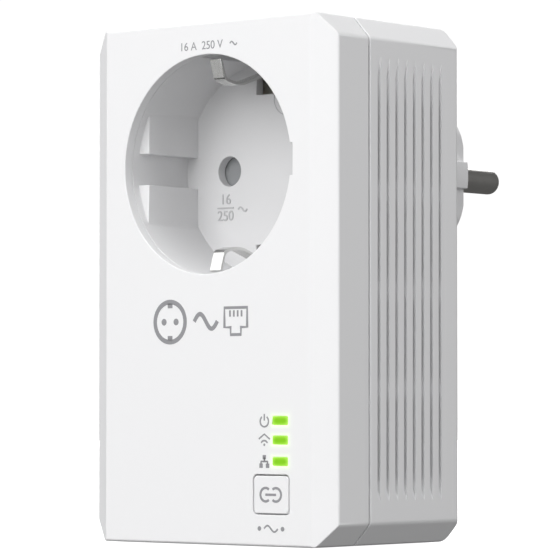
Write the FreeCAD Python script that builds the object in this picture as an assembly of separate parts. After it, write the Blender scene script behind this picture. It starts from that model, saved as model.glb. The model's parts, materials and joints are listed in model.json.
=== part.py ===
"""Pass-through powerline adapter: a two-part case with a socket in front, a plug behind and a board.

Millimetres. The origin is the centre of the plug hub's end face, +X is right seen from the front,
the front faces -Y, the plug pins point along +Y and +Z is up.
"""
import math
import os

import FreeCAD
import Part

V = FreeCAD.Vector

# ---- Driving dimensions ----
# Case
WIDTH = 58.0
HEIGHT = 95.0
DEPTH = 38.0
TOP_ABOVE_AXIS = 26.0
WALL = 2.0
CORNER_X = 3.64
CORNER_Z = 4.0
CORNER_ROUND = 1.3
BEVEL_X = 4.4
BEVEL_Y = 2.65
FRONT_ROUND = 0.6
REAR_ROUND = 1.2
SEAM_DEPTH = 11.35
SEAM_GAP = 0.5
TONGUE_LENGTH = 2.0
TONGUE_THICKNESS = 0.9
TONGUE_CLEARANCE = 0.1
FIT_GAP = 0.05
PLATE_GAP = 0.1
SCREW_HOLE_GAP = 0.2
RIB_GAP = 0.3

# Plug
HUB_LENGTH = 17.5
HUB_RADIUS = 18.5
HUB_WALL = 2.5
HUB_CAP = 2.0
HUB_EDGE = 0.8
HUB_FLANGE = 2.0
HUB_FLANGE_THICKNESS = 1.5
HUB_GAP = 0.1
PIN_PITCH = 19.0
PIN_RADIUS = 2.4
PIN_LENGTH = 19.0
PIN_NECK_RADIUS = 2.6
PIN_TIP_ROUND = 1.5
FLANGE_RADIUS = 3.4
FLANGE_THICKNESS = 2.0
STUD_RADIUS = 1.8
STUD_LENGTH = 4.0
RETAINER_RADIUS = 13.0
RETAINER_THICKNESS = 2.0
EARTH_FACE = 16.2
EARTH_WIDTH = 6.0
EARTH_THICKNESS = 0.8
EARTH_PLATE_START = 1.5
EARTH_SEAT_WALL = 1.4
EARTH_SEAT_SIDE = 1.1
SLEEVE_Z = 10.0
SLEEVE_BORE = 2.6
SLEEVE_WALL = 0.8

# Socket
RECESS_RADIUS = 20.0
RECESS_DEPTH = 17.5
CUP_WALL = 1.6
FLOOR_THICKNESS = 2.0
PIN_HOLE_RADIUS = 2.8
KEY_FACE = 17.3
KEY_INNER = 2.9
KEY_OUTER = 10.8
KEY_START = 3.7
NOTCH_REACH = 0.45
KEY_CLEARANCE = 0.4
KEY_SLOT_GAP = 0.5
CLIP_SLOT_WIDTH = 5.8
CLIP_SLOT_START = 14.0
CLIP_SLOT_END = 19.4
CHANNEL_WALL = 1.5
CHANNEL_TOP_GAP = 0.2
RING_WALL = 1.0
RING_HEIGHT = 2.5
EAR_REACH = 5.0
EAR_HEIGHT = 6.0
EAR_THICKNESS = 2.0
EAR_DEPTH = 9.5

# Earth clips: (depth behind the front face, distance from the axis) along the middle of the strip
CLIP_WIDTH = 2.6
CLIP_THICKNESS = 0.6
CLIP_TIP = (2.8, 19.4)
CLIP_SHOULDER = (4.0, 15.75)
CLIP_CROWN = (7.9, 14.87)
CLIP_HEEL_DEPTH = 17.2
CLIP_ROOT_Z = 17.9
CLIP_SHOULDER_ROUND = 1.6
CLIP_CROWN_ROUND = 8.0
CLIP_HEEL_ROUND = 5.0
BEAD_RADIUS = 0.9
ROOT_COVER = 0.4
ROOT_MOUTH = 0.7
ROOT_SIDE_GAP = 0.3
ROOT_EAR_WALL = 1.0
ROOT_EAR_REACH = 2.0

# Shutter and contact carrier
SHUTTER_THICKNESS = 1.4
SHUTTER_PAD_RADIUS = 3.4
SHUTTER_ARM = 4.4
SHUTTER_HUB_RADIUS = 3.2
SHUTTER_GAP = 0.2
SHUTTER_POST = 1.5
PEG_RADIUS = 0.5
PEG_HEIGHT = 0.9
CHAMBER_DEPTH = 3.0
SPRING_WIRE = 0.2
SPRING_RADIUS = 2.1
SPRING_PITCH = 0.42
SPRING_TURNS = 2
SPRING_LEG = 5.0
SPRING_TURN = 38.0
SPRING_STAND = 0.1
CARRIER_RADIUS = 20.0
CARRIER_PLATE = 2.0
CARRIER_LENGTH = 12.0
CARRIER_BODY_X = 14.0
CARRIER_BODY_Z = 5.5
CARRIER_CORNER = 2.0
CARRIER_SCREW_X = 13.5
CARRIER_SCREW_Z = 10.5
CARRIER_MOUTH = 3.0
CARRIER_CAVITY = 3.9
CARRIER_SEAT = 2.0
TULIP_INSET = 0.5
TULIP_RADIUS = 3.3
TULIP_BORE = 2.45
TULIP_LENGTH = 14.2
TULIP_SLIT = 0.6
TULIP_SLIT_LENGTH = 9.0
TULIP_CAP = 1.0
TAIL_WIDTH = 3.0
TAIL_THICKNESS = 1.2
STRAP_WIDTH = 5.0
STRAP_Z = 13.0
STRAP_END = 18.9
STRAP_BEND = 1.2
STRAP_DEPTH = 13.4
EARTH_BEND = 0.5

# Screws: shank radius, head radius, head height, and the drive cross as shares of these
CASE_SCREW = (1.4, 2.6, 2.0)
HEAD_ROUND = 0.35
CROSS_WIDTH = 0.3
CROSS_REACH = 0.55
CROSS_DEPTH = 0.5
BOARD_SCREW = (1.0, 2.0, 1.4)
CARRIER_SCREW = (0.95, 1.9, 1.4)
CASE_SCREW_LENGTH = 11.5
BOARD_SCREW_LENGTH = 6.0
CARRIER_SCREW_LENGTH = 5.5
SOCKET_SCREW_LENGTH = 6.0
PILOT_SPARE = 1.0
BOSS_SIDE = 3.5
BOSS_END = 4.5
FRONT_BOSS_RADIUS = 2.6
REAR_BOSS_RADIUS = 4.0
COUNTERBORE_RADIUS = 2.8
COUNTERBORE_DEPTH = 16.0
HEAD_WEB = 2.0
SMALL_BOSS_RADIUS = 2.4
CARRIER_BOSS_RADIUS = 2.2

# Front panel
BUTTON_SIZE = (8.05, 6.7)
BUTTON_CORNER = 0.7
BUTTON_FROM_SIDE = 13.5
BUTTON_FROM_BASE = 9.25
BUTTON_GAP = 0.25
BUTTON_TRAVEL = 0.5
BUTTON_EDGE = 0.25
BUTTON_BEHIND = 0.5
BUTTON_FLANGE = 0.7
BUTTON_FLANGE_THICKNESS = 1.0
BUTTON_STEM_RADIUS = 1.5
WINDOW_SIZE = (3.45, 1.5)
WINDOW_CORNER = 0.25
WINDOW_FROM_SIDE = 11.375
WINDOWS_FROM_BASE = (22.45, 18.97, 15.16)
PIPE_FLANGE = 1.1
PIPE_FLANGE_THICKNESS = 1.0
PIPE_FLANGE_END = 0.3
PIPE_CORNER = 0.3
PIPE_LEG = (2.0, 1.3)
PIPE_LEG_CORNER = 0.2
VENT_COUNT = 8
VENT_PITCH = 2.565
VENT_FIRST = 14.1
VENT_WIDTH = 0.9
VENT_DEPTH = 1.3
VENT_TOP = 19.0
VENT_TOP_FADE = 8.0
VENT_FROM_BASE = 7.9
VENT_BASE_FADE = 4.0
SLIT_COUNT = 4
SLIT_WEB = 3.0
LABEL_SIZE = (36.0, 30.0)
LABEL_THICKNESS = 0.25
LABEL_SINK = 0.3
LABEL_GAP = 0.2
LABEL_CORNER = 1.5

# Board and what stands on it
BOARD_DEPTH = 12.5
BOARD_THICKNESS = 1.6
BOARD_SIDE_GAP = 1.0
BOARD_END_GAP = 0.3
BOARD_TOP_GAP = 0.7
BOARD_SCREW_SIDE = 5.6
BOARD_SCREW_ROWS = (4.1, 18.3)
SWITCH_SIZE = (6.0, 6.0, 3.5)
SWITCH_CORNER = 0.3
SWITCH_CAVITY = 1.2
PLUNGER_RADIUS = 1.7
PLUNGER_STAND = 1.2
PLUNGER_GAP = 0.05
LED_SIZE = (2.0, 1.25, 0.9)
LED_GAP = 0.5
LED_CORNER = 0.1
JACK_SIZE = (16.0, 13.4, 21.2)
JACK_SINK = 0.2
JACK_OPENING_GAP = 0.2
SHIELD = 0.3
PORT_WIDTH = 11.8
PORT_HEIGHT = 8.0
PORT_DEPTH = 14.0
PORT_LIFT = 2.8
LATCH_WIDTH = 6.4
LATCH_HEIGHT = 1.4
JACK_PIN_COUNT = 8
JACK_PIN_PITCH = 1.02
JACK_PIN_WIDTH = 0.45
JACK_PIN_THICKNESS = 0.3
JACK_PIN_RISE = 1.9
JACK_PIN_SLOPE = (3.4, 7.2)
JACK_PIN_FOOT = 0.6
JACK_PIN_FOLD = 1.5
JACK_PIN_BENDS = (0.5, 0.4)
JACK_BED_GAP = 0.2
JACK_BED_LIFT = 1.0
JACK_BED_LIP = 0.6
JACK_FOOT_SLOT = 1.2
LEAD_RADIUS = 0.9
LEAD_BEND = 3.0
LEAD_CLEARANCE = 0.2
LEAD_DROP = 10.5
LEAD_END_BELOW_BOARD_TOP = 3.5
CHIP_SIZE = (12.0, 12.0, 1.0)
CHIP_CORNER = 0.4
CHIP_FROM_SIDE = 12.5
CHIP_FROM_BASE = 17.4
PAD_THICKNESS = 0.5
PAD_CORNER = 0.5
SINK_SIZE = (13.0, 13.0, 8.0)
SINK_BASE = 1.5
FIN_COUNT = 6
FIN_THICKNESS = 1.0

# Parts on the board's rear face: size, then middle as x and the distance below the board's top edge
CORE_SIZE = (16.0, 5.0, 13.0)
CORE_CORNER = 0.3
CORE_LEG = 4.0
CORE_WINDOW = 4.0
CORE_YOKE = 2.5
COIL_DEPTH = 12.0
COIL_CORNER = 2.0
COIL_GAP = 0.1
TRANSFORMER_AT = (-12.5, 16.8)
BULK_CAN = (5.0, 16.0)
BULK_CAN_AT = (-16.0, 5.5)
OUTPUT_CAN = (4.0, 11.0)
OUTPUT_CAN_AT = (-15.0, 29.5)
CAN_WAIST = (0.2, 0.6, 1.8)
CAN_SCORE = (0.6, 0.15, 0.2)
FILTER_SIZE = (12.0, 5.0, 10.0)
FILTER_CORNER = 0.8
FILTER_AT = (0.0, 4.0)
VARISTOR = (5.0, 3.6, 1.2)
VARISTOR_AT = (16.5, 12.5)
VARISTOR_STAND = 1.0
VARISTOR_LEG = (0.35, 3.0, 2.5)
FUSE = (3.4, 7.0)
FUSE_AT = (16.8, 5.0)
CHOKE = (3.6, 1.9, 2.0)
CHOKE_AT = (3.5, 13.7)
CHOKE_LEG = (0.4, 1.5)
COUPLER_SIZE = (8.0, 5.0, 6.0)
COUPLER_CORNER = 0.6
COUPLER_AT = (14.5, 17.75)

# Parts on the board's front face, placed in the same way
PORT_COIL_SIZE = (12.0, 9.0, 3.6)
PORT_COIL_AT = (-4.0, 13.5)
MEMORY_SIZE = (8.0, 6.0, 1.0)
MEMORY_CORNER = 0.2
MEMORY_AT = (-12.0, 25.5)
CRYSTAL_SIZE = (11.0, 4.6, 3.5)
CRYSTAL_CORNER = 2.2
CRYSTAL_AT = (2.0, 27.5)

# ---- Planes and places that follow ----
HALF = WIDTH / 2
REAR = -HUB_LENGTH
FRONT = REAR - DEPTH
TOP = TOP_ABOVE_AXIS
BASE = TOP - HEIGHT
SEAM = FRONT + SEAM_DEPTH
INNER_FRONT = FRONT + WALL
INNER_REAR = REAR - WALL
PIN_X = PIN_PITCH / 2
FLOOR_FRONT = FRONT + RECESS_DEPTH
FLOOR_BACK = FLOOR_FRONT + FLOOR_THICKNESS
CUP_FRONT = INNER_FRONT + FIT_GAP
CHANNEL_END = TOP - WALL - CHANNEL_TOP_GAP - CHANNEL_WALL
CUP_RADIUS = RECESS_RADIUS + CUP_WALL
SHUTTER_FRONT = FLOOR_BACK + SHUTTER_GAP
SHUTTER_BACK = SHUTTER_FRONT + SHUTTER_THICKNESS
CARRIER_FRONT = FLOOR_BACK + CHAMBER_DEPTH
CARRIER_PLATE_BACK = CARRIER_FRONT + CARRIER_PLATE
CARRIER_BACK = CARRIER_FRONT + CARRIER_LENGTH
CLIP_ROOT_Y = CARRIER_FRONT + BEAD_RADIUS + ROOT_COVER
HUB_FRONT = INNER_REAR - HUB_FLANGE_THICKNESS
TULIP_FRONT = CARRIER_FRONT + TULIP_INSET
TULIP_BACK = TULIP_FRONT + TULIP_LENGTH
FLANGE_BACK = -HUB_CAP - FLANGE_THICKNESS
STUD_BACK = FLANGE_BACK - STUD_LENGTH
STRAP_FRONT_Y = CLIP_ROOT_Y + BEAD_RADIUS + FIT_GAP + EARTH_THICKNESS / 2
STRAP_BACK_Y = -HUB_CAP - STRAP_DEPTH
EARTH_LEG_Y = STRAP_BACK_Y - EARTH_THICKNESS
BOARD_FRONT = FRONT + BOARD_DEPTH
BOARD_BACK = BOARD_FRONT + BOARD_THICKNESS
BOARD_HALF = HALF - WALL - BOARD_SIDE_GAP
BOARD_TOP = -(CHANNEL_END + CHANNEL_WALL + BOARD_TOP_GAP)
BOARD_BASE = BASE + WALL + BOARD_END_GAP
BUTTON_X = HALF - BUTTON_FROM_SIDE
BUTTON_Z = BASE + BUTTON_FROM_BASE
WINDOW_X = HALF - WINDOW_FROM_SIDE
WINDOW_ROWS = [BASE + offset for offset in WINDOWS_FROM_BASE]
BOSS_X = HALF - WALL - BOSS_SIDE
BOSS_ROWS = (TOP - WALL - BOSS_END, BASE + WALL + BOSS_END)
WEB_BACK = REAR - COUNTERBORE_DEPTH
WEB_FRONT = WEB_BACK - HEAD_WEB
EAR_X = CUP_RADIUS + EAR_REACH / 2
EAR_BACK = FRONT + EAR_DEPTH + EAR_THICKNESS
PLUNGER_TIP = BOARD_FRONT - SWITCH_SIZE[2] - PLUNGER_STAND
LEAD_Y = HUB_FRONT - LEAD_RADIUS - LEAD_CLEARANCE
LEAD_END_Z = BOARD_TOP - LEAD_END_BELOW_BOARD_TOP
JACK_BASE = BASE + JACK_SINK
JACK_TOP = JACK_BASE + JACK_SIZE[2]
JACK_BACK = BOARD_BACK + JACK_SIZE[1]
CHIP_X = HALF - CHIP_FROM_SIDE
CHIP_Z = BASE + CHIP_FROM_BASE


# ---- Small building blocks ----
def box(x0, x1, y0, y1, z0, z1):
    """Box between two corners."""
    return Part.makeBox(x1 - x0, y1 - y0, z1 - z0, V(x0, y0, z0))


def rod(radius, y0, y1, x=0.0, z=0.0):
    """Round bar along Y."""
    return Part.makeCylinder(radius, y1 - y0, V(x, y0, z), V(0, 1, 0))


def pair(shape):
    """The shape and its mirror image across the plane X = 0."""
    return [shape, shape.mirror(V(0, 0, 0), V(1, 0, 0))]


def flipped(shape):
    """Mirror image across the plane Z = 0."""
    return shape.mirror(V(0, 0, 0), V(0, 0, 1))


def in_plane(plane, u, v, along=0.0):
    """Point with in-plane coordinates (u, v) of the XZ, XY or YZ plane."""
    if plane == "XZ":
        return V(u, along, v)
    if plane == "XY":
        return V(u, v, along)
    return V(along, u, v)


def corner_arc(before, corner, after, radius):
    """Start, middle and end of the tangent arc that rounds one corner of an outline."""
    toward = V(before[0] - corner[0], before[1] - corner[1], 0).normalize()
    away = V(after[0] - corner[0], after[1] - corner[1], 0).normalize()
    half_angle = toward.getAngle(away) / 2
    reach = radius / math.tan(half_angle)
    bisector = (toward + away).normalize()
    apex = V(corner[0], corner[1], 0)
    middle = apex + bisector * (radius / math.sin(half_angle) - radius)
    return [apex + toward * reach, middle, apex + away * reach]


def path_edges(points, radii, plane, closed):
    """Straight edges through the points, with a tangent arc at each corner that has a radius."""
    count = len(points)
    stations = []
    for i, point in enumerate(points):
        at_end = not closed and i in (0, count - 1)
        if at_end or radii[i] <= 0:
            stations.append([V(point[0], point[1], 0)])
        else:
            stations.append(corner_arc(points[i - 1], point, points[(i + 1) % count], radii[i]))
    edges = []
    for i, station in enumerate(stations):
        placed = [in_plane(plane, p.x, p.y) for p in station]
        if len(placed) > 1:
            edges.append(Part.Arc(*placed).toShape())
        if closed or i < count - 1:
            ahead = stations[(i + 1) % count][0]
            start, end = placed[-1], in_plane(plane, ahead.x, ahead.y)
            if start.distanceToPoint(end) > 1e-6:
                edges.append(Part.LineSegment(start, end).toShape())
    return edges


def prism(points, radii, plane, start, end):
    """Closed outline in a plane, carried along the plane's normal from start to end."""
    radii = [radii] * len(points) if isinstance(radii, (int, float)) else radii
    face = Part.Face(Part.Wire(path_edges(points, radii, plane, True)))
    face.translate(in_plane(plane, 0, 0, start))
    return face.extrude(in_plane(plane, 0, 0, end - start))


def slab(x_size, z_size, corner, y0, y1, x=0.0, z=0.0):
    """Plate along Y with round corners, centred at (x, z)."""
    a, b = x_size / 2, z_size / 2
    points = [(x - a, z - b), (x + a, z - b), (x + a, z + b), (x - a, z + b)]
    return prism(points, corner, "XZ", y0, y1)


def offset_side(points, radii, distance):
    """Corner points and corner radii of a line of points moved sideways by distance."""
    moved, rounded = [], []
    for i, point in enumerate(points):
        here = V(point[0], point[1], 0)
        normals = []
        for a, b in ((i - 1, i), (i, i + 1)):
            if a >= 0 and b < len(points):
                run = V(points[b][0] - points[a][0], points[b][1] - points[a][1], 0).normalize()
                normals.append(V(-run.y, run.x, 0))
        first, last = normals[0], normals[-1]
        here += (first + last) * (distance / (1 + first.dot(last)))
        turn = first.x * last.y - first.y * last.x
        moved.append((here.x, here.y))
        rounded.append(radii[i] - math.copysign(distance, turn) if len(normals) > 1 else 0)
    return moved, rounded


def strip(points, radii, thickness, plane, start, end):
    """Bent sheet strip: the middle line's points and bend radii, carried from start to end."""
    left, left_radii = offset_side(points, radii, thickness / 2)
    right, right_radii = offset_side(points, radii, -thickness / 2)
    outline = left + right[::-1]
    return prism(outline, left_radii + right_radii[::-1], plane, start, end)


def round_wire(points, bend, radius, x):
    """Round wire in the plane X = x, with its straight runs joined by tangent bends."""
    radii = [bend] * len(points)
    path = Part.Wire(path_edges(points, radii, "YZ", False))
    start = in_plane("YZ", points[0][0], points[0][1])
    run = in_plane("YZ", points[1][0] - points[0][0], points[1][1] - points[0][1])
    ring = Part.Wire(Part.makeCircle(radius, start, run))
    tube = path.makePipeShell([ring], True, True)
    tube.translate(V(x, 0, 0))
    return tube


def screw(size, length, x, z, seat):
    """Pan-head screw whose head sits on the plane Y = seat and whose shank points along -Y."""
    shank, head, height = size
    body = rod(shank, -length, 0).fuse(rod(head, 0, height))
    rim = [e for e in body.Edges if abs(e.CenterOfMass.y - height) < 1e-6]
    body = body.makeFillet(height * HEAD_ROUND, rim)
    slot, reach, sink = shank * CROSS_WIDTH, head * CROSS_REACH, height * CROSS_DEPTH
    for sides in ((reach, slot), (slot, reach)):
        body = body.cut(box(-sides[0], sides[0], height - sink, height + 1, -sides[1], sides[1]))
    body.translate(V(x, seat, z))
    return body


def profile(inset, y0, y1):
    """Front-view outline of the case moved in by inset, carried from y0 to y1."""
    a, top, base = HALF - inset, TOP - inset, BASE + inset
    points = [
        (-a + CORNER_X, base), (a - CORNER_X, base), (a, base + CORNER_Z), (a, top - CORNER_Z),
        (a - CORNER_X, top), (-a + CORNER_X, top), (-a, top - CORNER_Z), (-a, base + CORNER_Z),
    ]
    return prism(points, CORNER_ROUND, "XZ", y0, y1)


def envelope(inset):
    """Whole case form moved in by inset: its front, top and side outlines crossed."""
    a, front, rear = HALF - inset, FRONT + inset, REAR - inset
    front_round = max(FRONT_ROUND - inset, 0)
    rear_round = max(REAR_ROUND - inset, 0)
    plan = [
        (-a + BEVEL_X, front), (a - BEVEL_X, front), (a, front + BEVEL_Y),
        (a, rear), (-a, rear), (-a, front + BEVEL_Y),
    ]
    plan_radii = [front_round, front_round, front_round, rear_round, rear_round, front_round]
    side = [(front, BASE + inset), (rear, BASE + inset), (rear, TOP - inset), (front, TOP - inset)]
    side_radii = [front_round, rear_round, rear_round, front_round]
    form = profile(inset, front, rear)
    form = form.common(prism(plan, plan_radii, "XY", BASE, TOP))
    return form.common(prism(side, side_radii, "YZ", -HALF, HALF))


def case_half(y0, y1):
    """Case wall between two planes."""
    shell = envelope(0).cut(envelope(WALL))
    return shell.common(box(-HALF, HALF, y0, y1, BASE, TOP))


# ---- Case ----
def case_screw_places():
    """Places of the four case screws."""
    return [(side * BOSS_X, z) for side in (-1, 1) for z in BOSS_ROWS]


def board_screw_places():
    """Places of the four board screws."""
    x = HALF - BOARD_SCREW_SIDE
    return [(side * x, BOARD_TOP - drop) for side in (-1, 1) for drop in BOARD_SCREW_ROWS]


def front_bosses():
    """Posts behind the front face for the case, board and socket screws."""
    posts, pilots = [], []
    depth = CASE_SCREW_LENGTH - HEAD_WEB + PILOT_SPARE
    for x, z in case_screw_places():
        posts.append(rod(FRONT_BOSS_RADIUS, INNER_FRONT, WEB_FRONT - TONGUE_CLEARANCE, x, z))
        pilots.append(rod(CASE_SCREW[0] + FIT_GAP, WEB_FRONT - depth, WEB_FRONT, x, z))
    depth = BOARD_SCREW_LENGTH - BOARD_THICKNESS + PILOT_SPARE
    for x, z in board_screw_places():
        posts.append(rod(SMALL_BOSS_RADIUS, INNER_FRONT, BOARD_FRONT, x, z))
        pilots.append(rod(BOARD_SCREW[0] + FIT_GAP, BOARD_FRONT - depth, BOARD_FRONT, x, z))
    ear_front = EAR_BACK - EAR_THICKNESS
    depth = SOCKET_SCREW_LENGTH - EAR_THICKNESS + PILOT_SPARE
    for x in (-EAR_X, EAR_X):
        posts.append(rod(SMALL_BOSS_RADIUS, INNER_FRONT, ear_front, x))
        pilots.append(rod(BOARD_SCREW[0] + FIT_GAP, ear_front - depth, ear_front, x))
    return posts, pilots


def key_notch(y0, y1):
    """Shallow notch beside the recess, level with the space between the key blocks."""
    return box(KEY_FACE, RECESS_RADIUS + NOTCH_REACH, y0, y1, -KEY_INNER, KEY_INNER)


def front_openings():
    """Cuts through the front face: socket, button and light windows."""
    ahead, behind = FRONT - 1, INNER_FRONT + 1
    gap = 2 * BUTTON_GAP
    cuts = [rod(RECESS_RADIUS, ahead, behind), key_notch(ahead, behind)]
    corner = BUTTON_CORNER + BUTTON_GAP
    cuts.append(slab(BUTTON_SIZE[0] + gap, BUTTON_SIZE[1] + gap, corner, ahead, behind, BUTTON_X, BUTTON_Z))
    width, height = WINDOW_SIZE[0] + 2 * FIT_GAP, WINDOW_SIZE[1] + 2 * FIT_GAP
    corner = WINDOW_CORNER + FIT_GAP
    cuts += [slab(width, height, corner, ahead, behind, WINDOW_X, z) for z in WINDOW_ROWS]
    return cuts


def front_cover():
    """Front shell with its bevelled sides, screw posts and the ring that centres the socket cup."""
    shell = case_half(FRONT, SEAM - SEAM_GAP / 2)
    rebate = WALL - TONGUE_THICKNESS - TONGUE_CLEARANCE
    lip = profile(rebate, SEAM - TONGUE_LENGTH - 2 * TONGUE_CLEARANCE, SEAM)
    lip = lip.cut(profile(WALL + 1, SEAM - TONGUE_LENGTH - 1, SEAM + 1))
    ring_radius = CUP_RADIUS + 2 * FIT_GAP
    ring_back = INNER_FRONT + RING_HEIGHT
    ring = rod(ring_radius + RING_WALL, INNER_FRONT, ring_back)
    ring = ring.cut(rod(ring_radius, INNER_FRONT - 1, ring_back + 1))
    window = box(-CLIP_SLOT_WIDTH, CLIP_SLOT_WIDTH, INNER_FRONT, ring_back + 1, BASE, TOP)
    ring = ring.cut(window)
    posts, pilots = front_bosses()
    body = shell.cut(lip).fuse([ring] + posts)
    return body.cut(pilots + front_openings())


def vent_cuts():
    """Grooves down both sides that fade out at their ends, and the slits through their floors."""
    low = BASE + VENT_FROM_BASE
    fade = [(HALF - VENT_DEPTH, low + VENT_BASE_FADE), (HALF - VENT_DEPTH, VENT_TOP - VENT_TOP_FADE),
            (HALF, VENT_TOP), (HALF + 1, VENT_TOP), (HALF + 1, low), (HALF, low)]
    slit_low, slit_high = low + VENT_BASE_FADE, VENT_TOP - VENT_TOP_FADE
    length = (slit_high - slit_low - SLIT_WEB * (SLIT_COUNT - 1)) / SLIT_COUNT
    cuts = []
    for i in range(VENT_COUNT):
        y = FRONT + VENT_FIRST + i * VENT_PITCH
        y0, y1 = y - VENT_WIDTH / 2, y + VENT_WIDTH / 2
        cuts += pair(prism(fade, 0, "XZ", y0, y1))
        for k in range(SLIT_COUNT):
            z = slit_low + k * (length + SLIT_WEB)
            cuts += pair(box(HALF - WALL - 1, HALF, y0, y1, z, z + length))
    return cuts


def plug_hub():
    """Round plug hub through the rear wall: inner flange, end wall, key slots and earth plate seats."""
    body = rod(HUB_RADIUS, HUB_FRONT, 0)
    end = [e for e in body.Edges if abs(e.CenterOfMass.y) < 1e-6 and len(e.Vertexes) == 1]
    body = body.makeChamfer(HUB_EDGE, end)
    body = body.fuse(rod(HUB_RADIUS + HUB_FLANGE, HUB_FRONT, INNER_REAR))
    body = body.cut(rod(HUB_RADIUS - HUB_WALL, HUB_FRONT - 1, -HUB_CAP))
    seat_in = EARTH_FACE - EARTH_THICKNESS - PLATE_GAP - EARTH_SEAT_WALL
    half = EARTH_WIDTH / 2 + EARTH_SEAT_SIDE
    seat = box(-half, half, HUB_FRONT, -HUB_CAP, seat_in, EARTH_FACE)
    body = body.fuse([seat, flipped(seat)])
    low, high = KEY_INNER - KEY_CLEARANCE, KEY_OUTER + KEY_CLEARANCE
    for z0, z1 in ((low, high), (-high, -low)):
        body = body.cut(pair(box(KEY_FACE - KEY_SLOT_GAP, HUB_RADIUS + 1, REAR, 1, z0, z1)))
    return body.cut(hub_cuts())


def hub_cuts():
    """Holes and slots in the hub for the pins, earth plates and earth sleeve."""
    cuts = [rod(PIN_NECK_RADIUS + FIT_GAP, -HUB_CAP - 1, 1, side * PIN_X) for side in (-1, 1)]
    cuts.append(rod(SLEEVE_BORE + SLEEVE_WALL + FIT_GAP, -HUB_CAP - 1, 1, 0, SLEEVE_Z))
    half = EARTH_WIDTH / 2 + PLATE_GAP
    floor = EARTH_FACE - EARTH_THICKNESS - PLATE_GAP
    leg = EARTH_THICKNESS / 2 + PLATE_GAP
    slot = box(-half, half, EARTH_LEG_Y - leg, 1, floor, HUB_RADIUS + 1)
    slit = box(-half, half, EARTH_LEG_Y - leg, EARTH_LEG_Y + leg, STRAP_Z, HUB_RADIUS)
    for cut in (slot, slit):
        cuts += [cut, flipped(cut)]
    return cuts


def rear_cover():
    """Rear shell with its tongue, vents, screw tubes, hub and jack openings and label pocket."""
    shell = case_half(SEAM + SEAM_GAP / 2, REAR)
    inset = WALL - TONGUE_THICKNESS
    tongue = profile(inset, SEAM - TONGUE_LENGTH, SEAM + 1)
    tongue = tongue.cut(profile(WALL, SEAM - TONGUE_LENGTH - 1, SEAM + 2))
    tubes = [rod(REAR_BOSS_RADIUS, WEB_FRONT, INNER_REAR, x, z) for x, z in case_screw_places()]
    body = shell.fuse([tongue] + tubes)
    cuts = vent_cuts() + [rod(HUB_RADIUS + HUB_GAP, INNER_REAR - 1, REAR + 1)]
    for x, z in case_screw_places():
        cuts.append(rod(COUNTERBORE_RADIUS, WEB_BACK, REAR + 1, x, z))
        cuts.append(rod(CASE_SCREW[0] + SCREW_HOLE_GAP, WEB_FRONT - 1, REAR, x, z))
    side = JACK_SIZE[0] / 2 + JACK_OPENING_GAP
    cuts.append(box(-side, side, BOARD_BACK - JACK_OPENING_GAP, JACK_BACK + JACK_OPENING_GAP,
                    BASE - 1, BASE + WALL + 1))
    cuts.append(label_plate(LABEL_GAP, REAR - LABEL_SINK, REAR + 1))
    return body.cut(cuts)


def label_plate(grow, y0, y1):
    """Label outline below the hub, grown by a gap."""
    z = (BASE - HUB_RADIUS) / 2
    return slab(LABEL_SIZE[0] + 2 * grow, LABEL_SIZE[1] + 2 * grow, LABEL_CORNER + grow, y0, y1, 0, z)


def rear_label():
    """Blank rating label in its pocket."""
    return label_plate(0, REAR - LABEL_SINK, REAR - LABEL_SINK + LABEL_THICKNESS)


def case_screws():
    """Four screws that draw the covers together from behind."""
    return [screw(CASE_SCREW, CASE_SCREW_LENGTH, x, z, WEB_BACK) for x, z in case_screw_places()]


# ---- Socket ----
def carrier_screw_places():
    """Places of the four contact carrier screws."""
    signs = (-1, 1)
    return [(a * CARRIER_SCREW_X, b * CARRIER_SCREW_Z) for a in signs for b in signs]


def clip_pocket(grow, y0, y1, z0):
    """Channel box around one earth clip, from z0 outwards."""
    half = CLIP_SLOT_WIDTH / 2 + grow
    return box(-half, half, y0, y1, z0, CHANNEL_END + grow)


def key_blocks():
    """Four key blocks on the recess wall."""
    wall = rod(RECESS_RADIUS + CUP_WALL / 2, FRONT + KEY_START, FLOOR_FRONT)
    blocks = []
    for z0, z1 in ((KEY_INNER, KEY_OUTER), (-KEY_OUTER, -KEY_INNER)):
        bar = box(KEY_FACE, RECESS_RADIUS + CUP_WALL, FRONT, FLOOR_BACK, z0, z1)
        blocks += pair(bar.common(wall))
    return blocks


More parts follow.
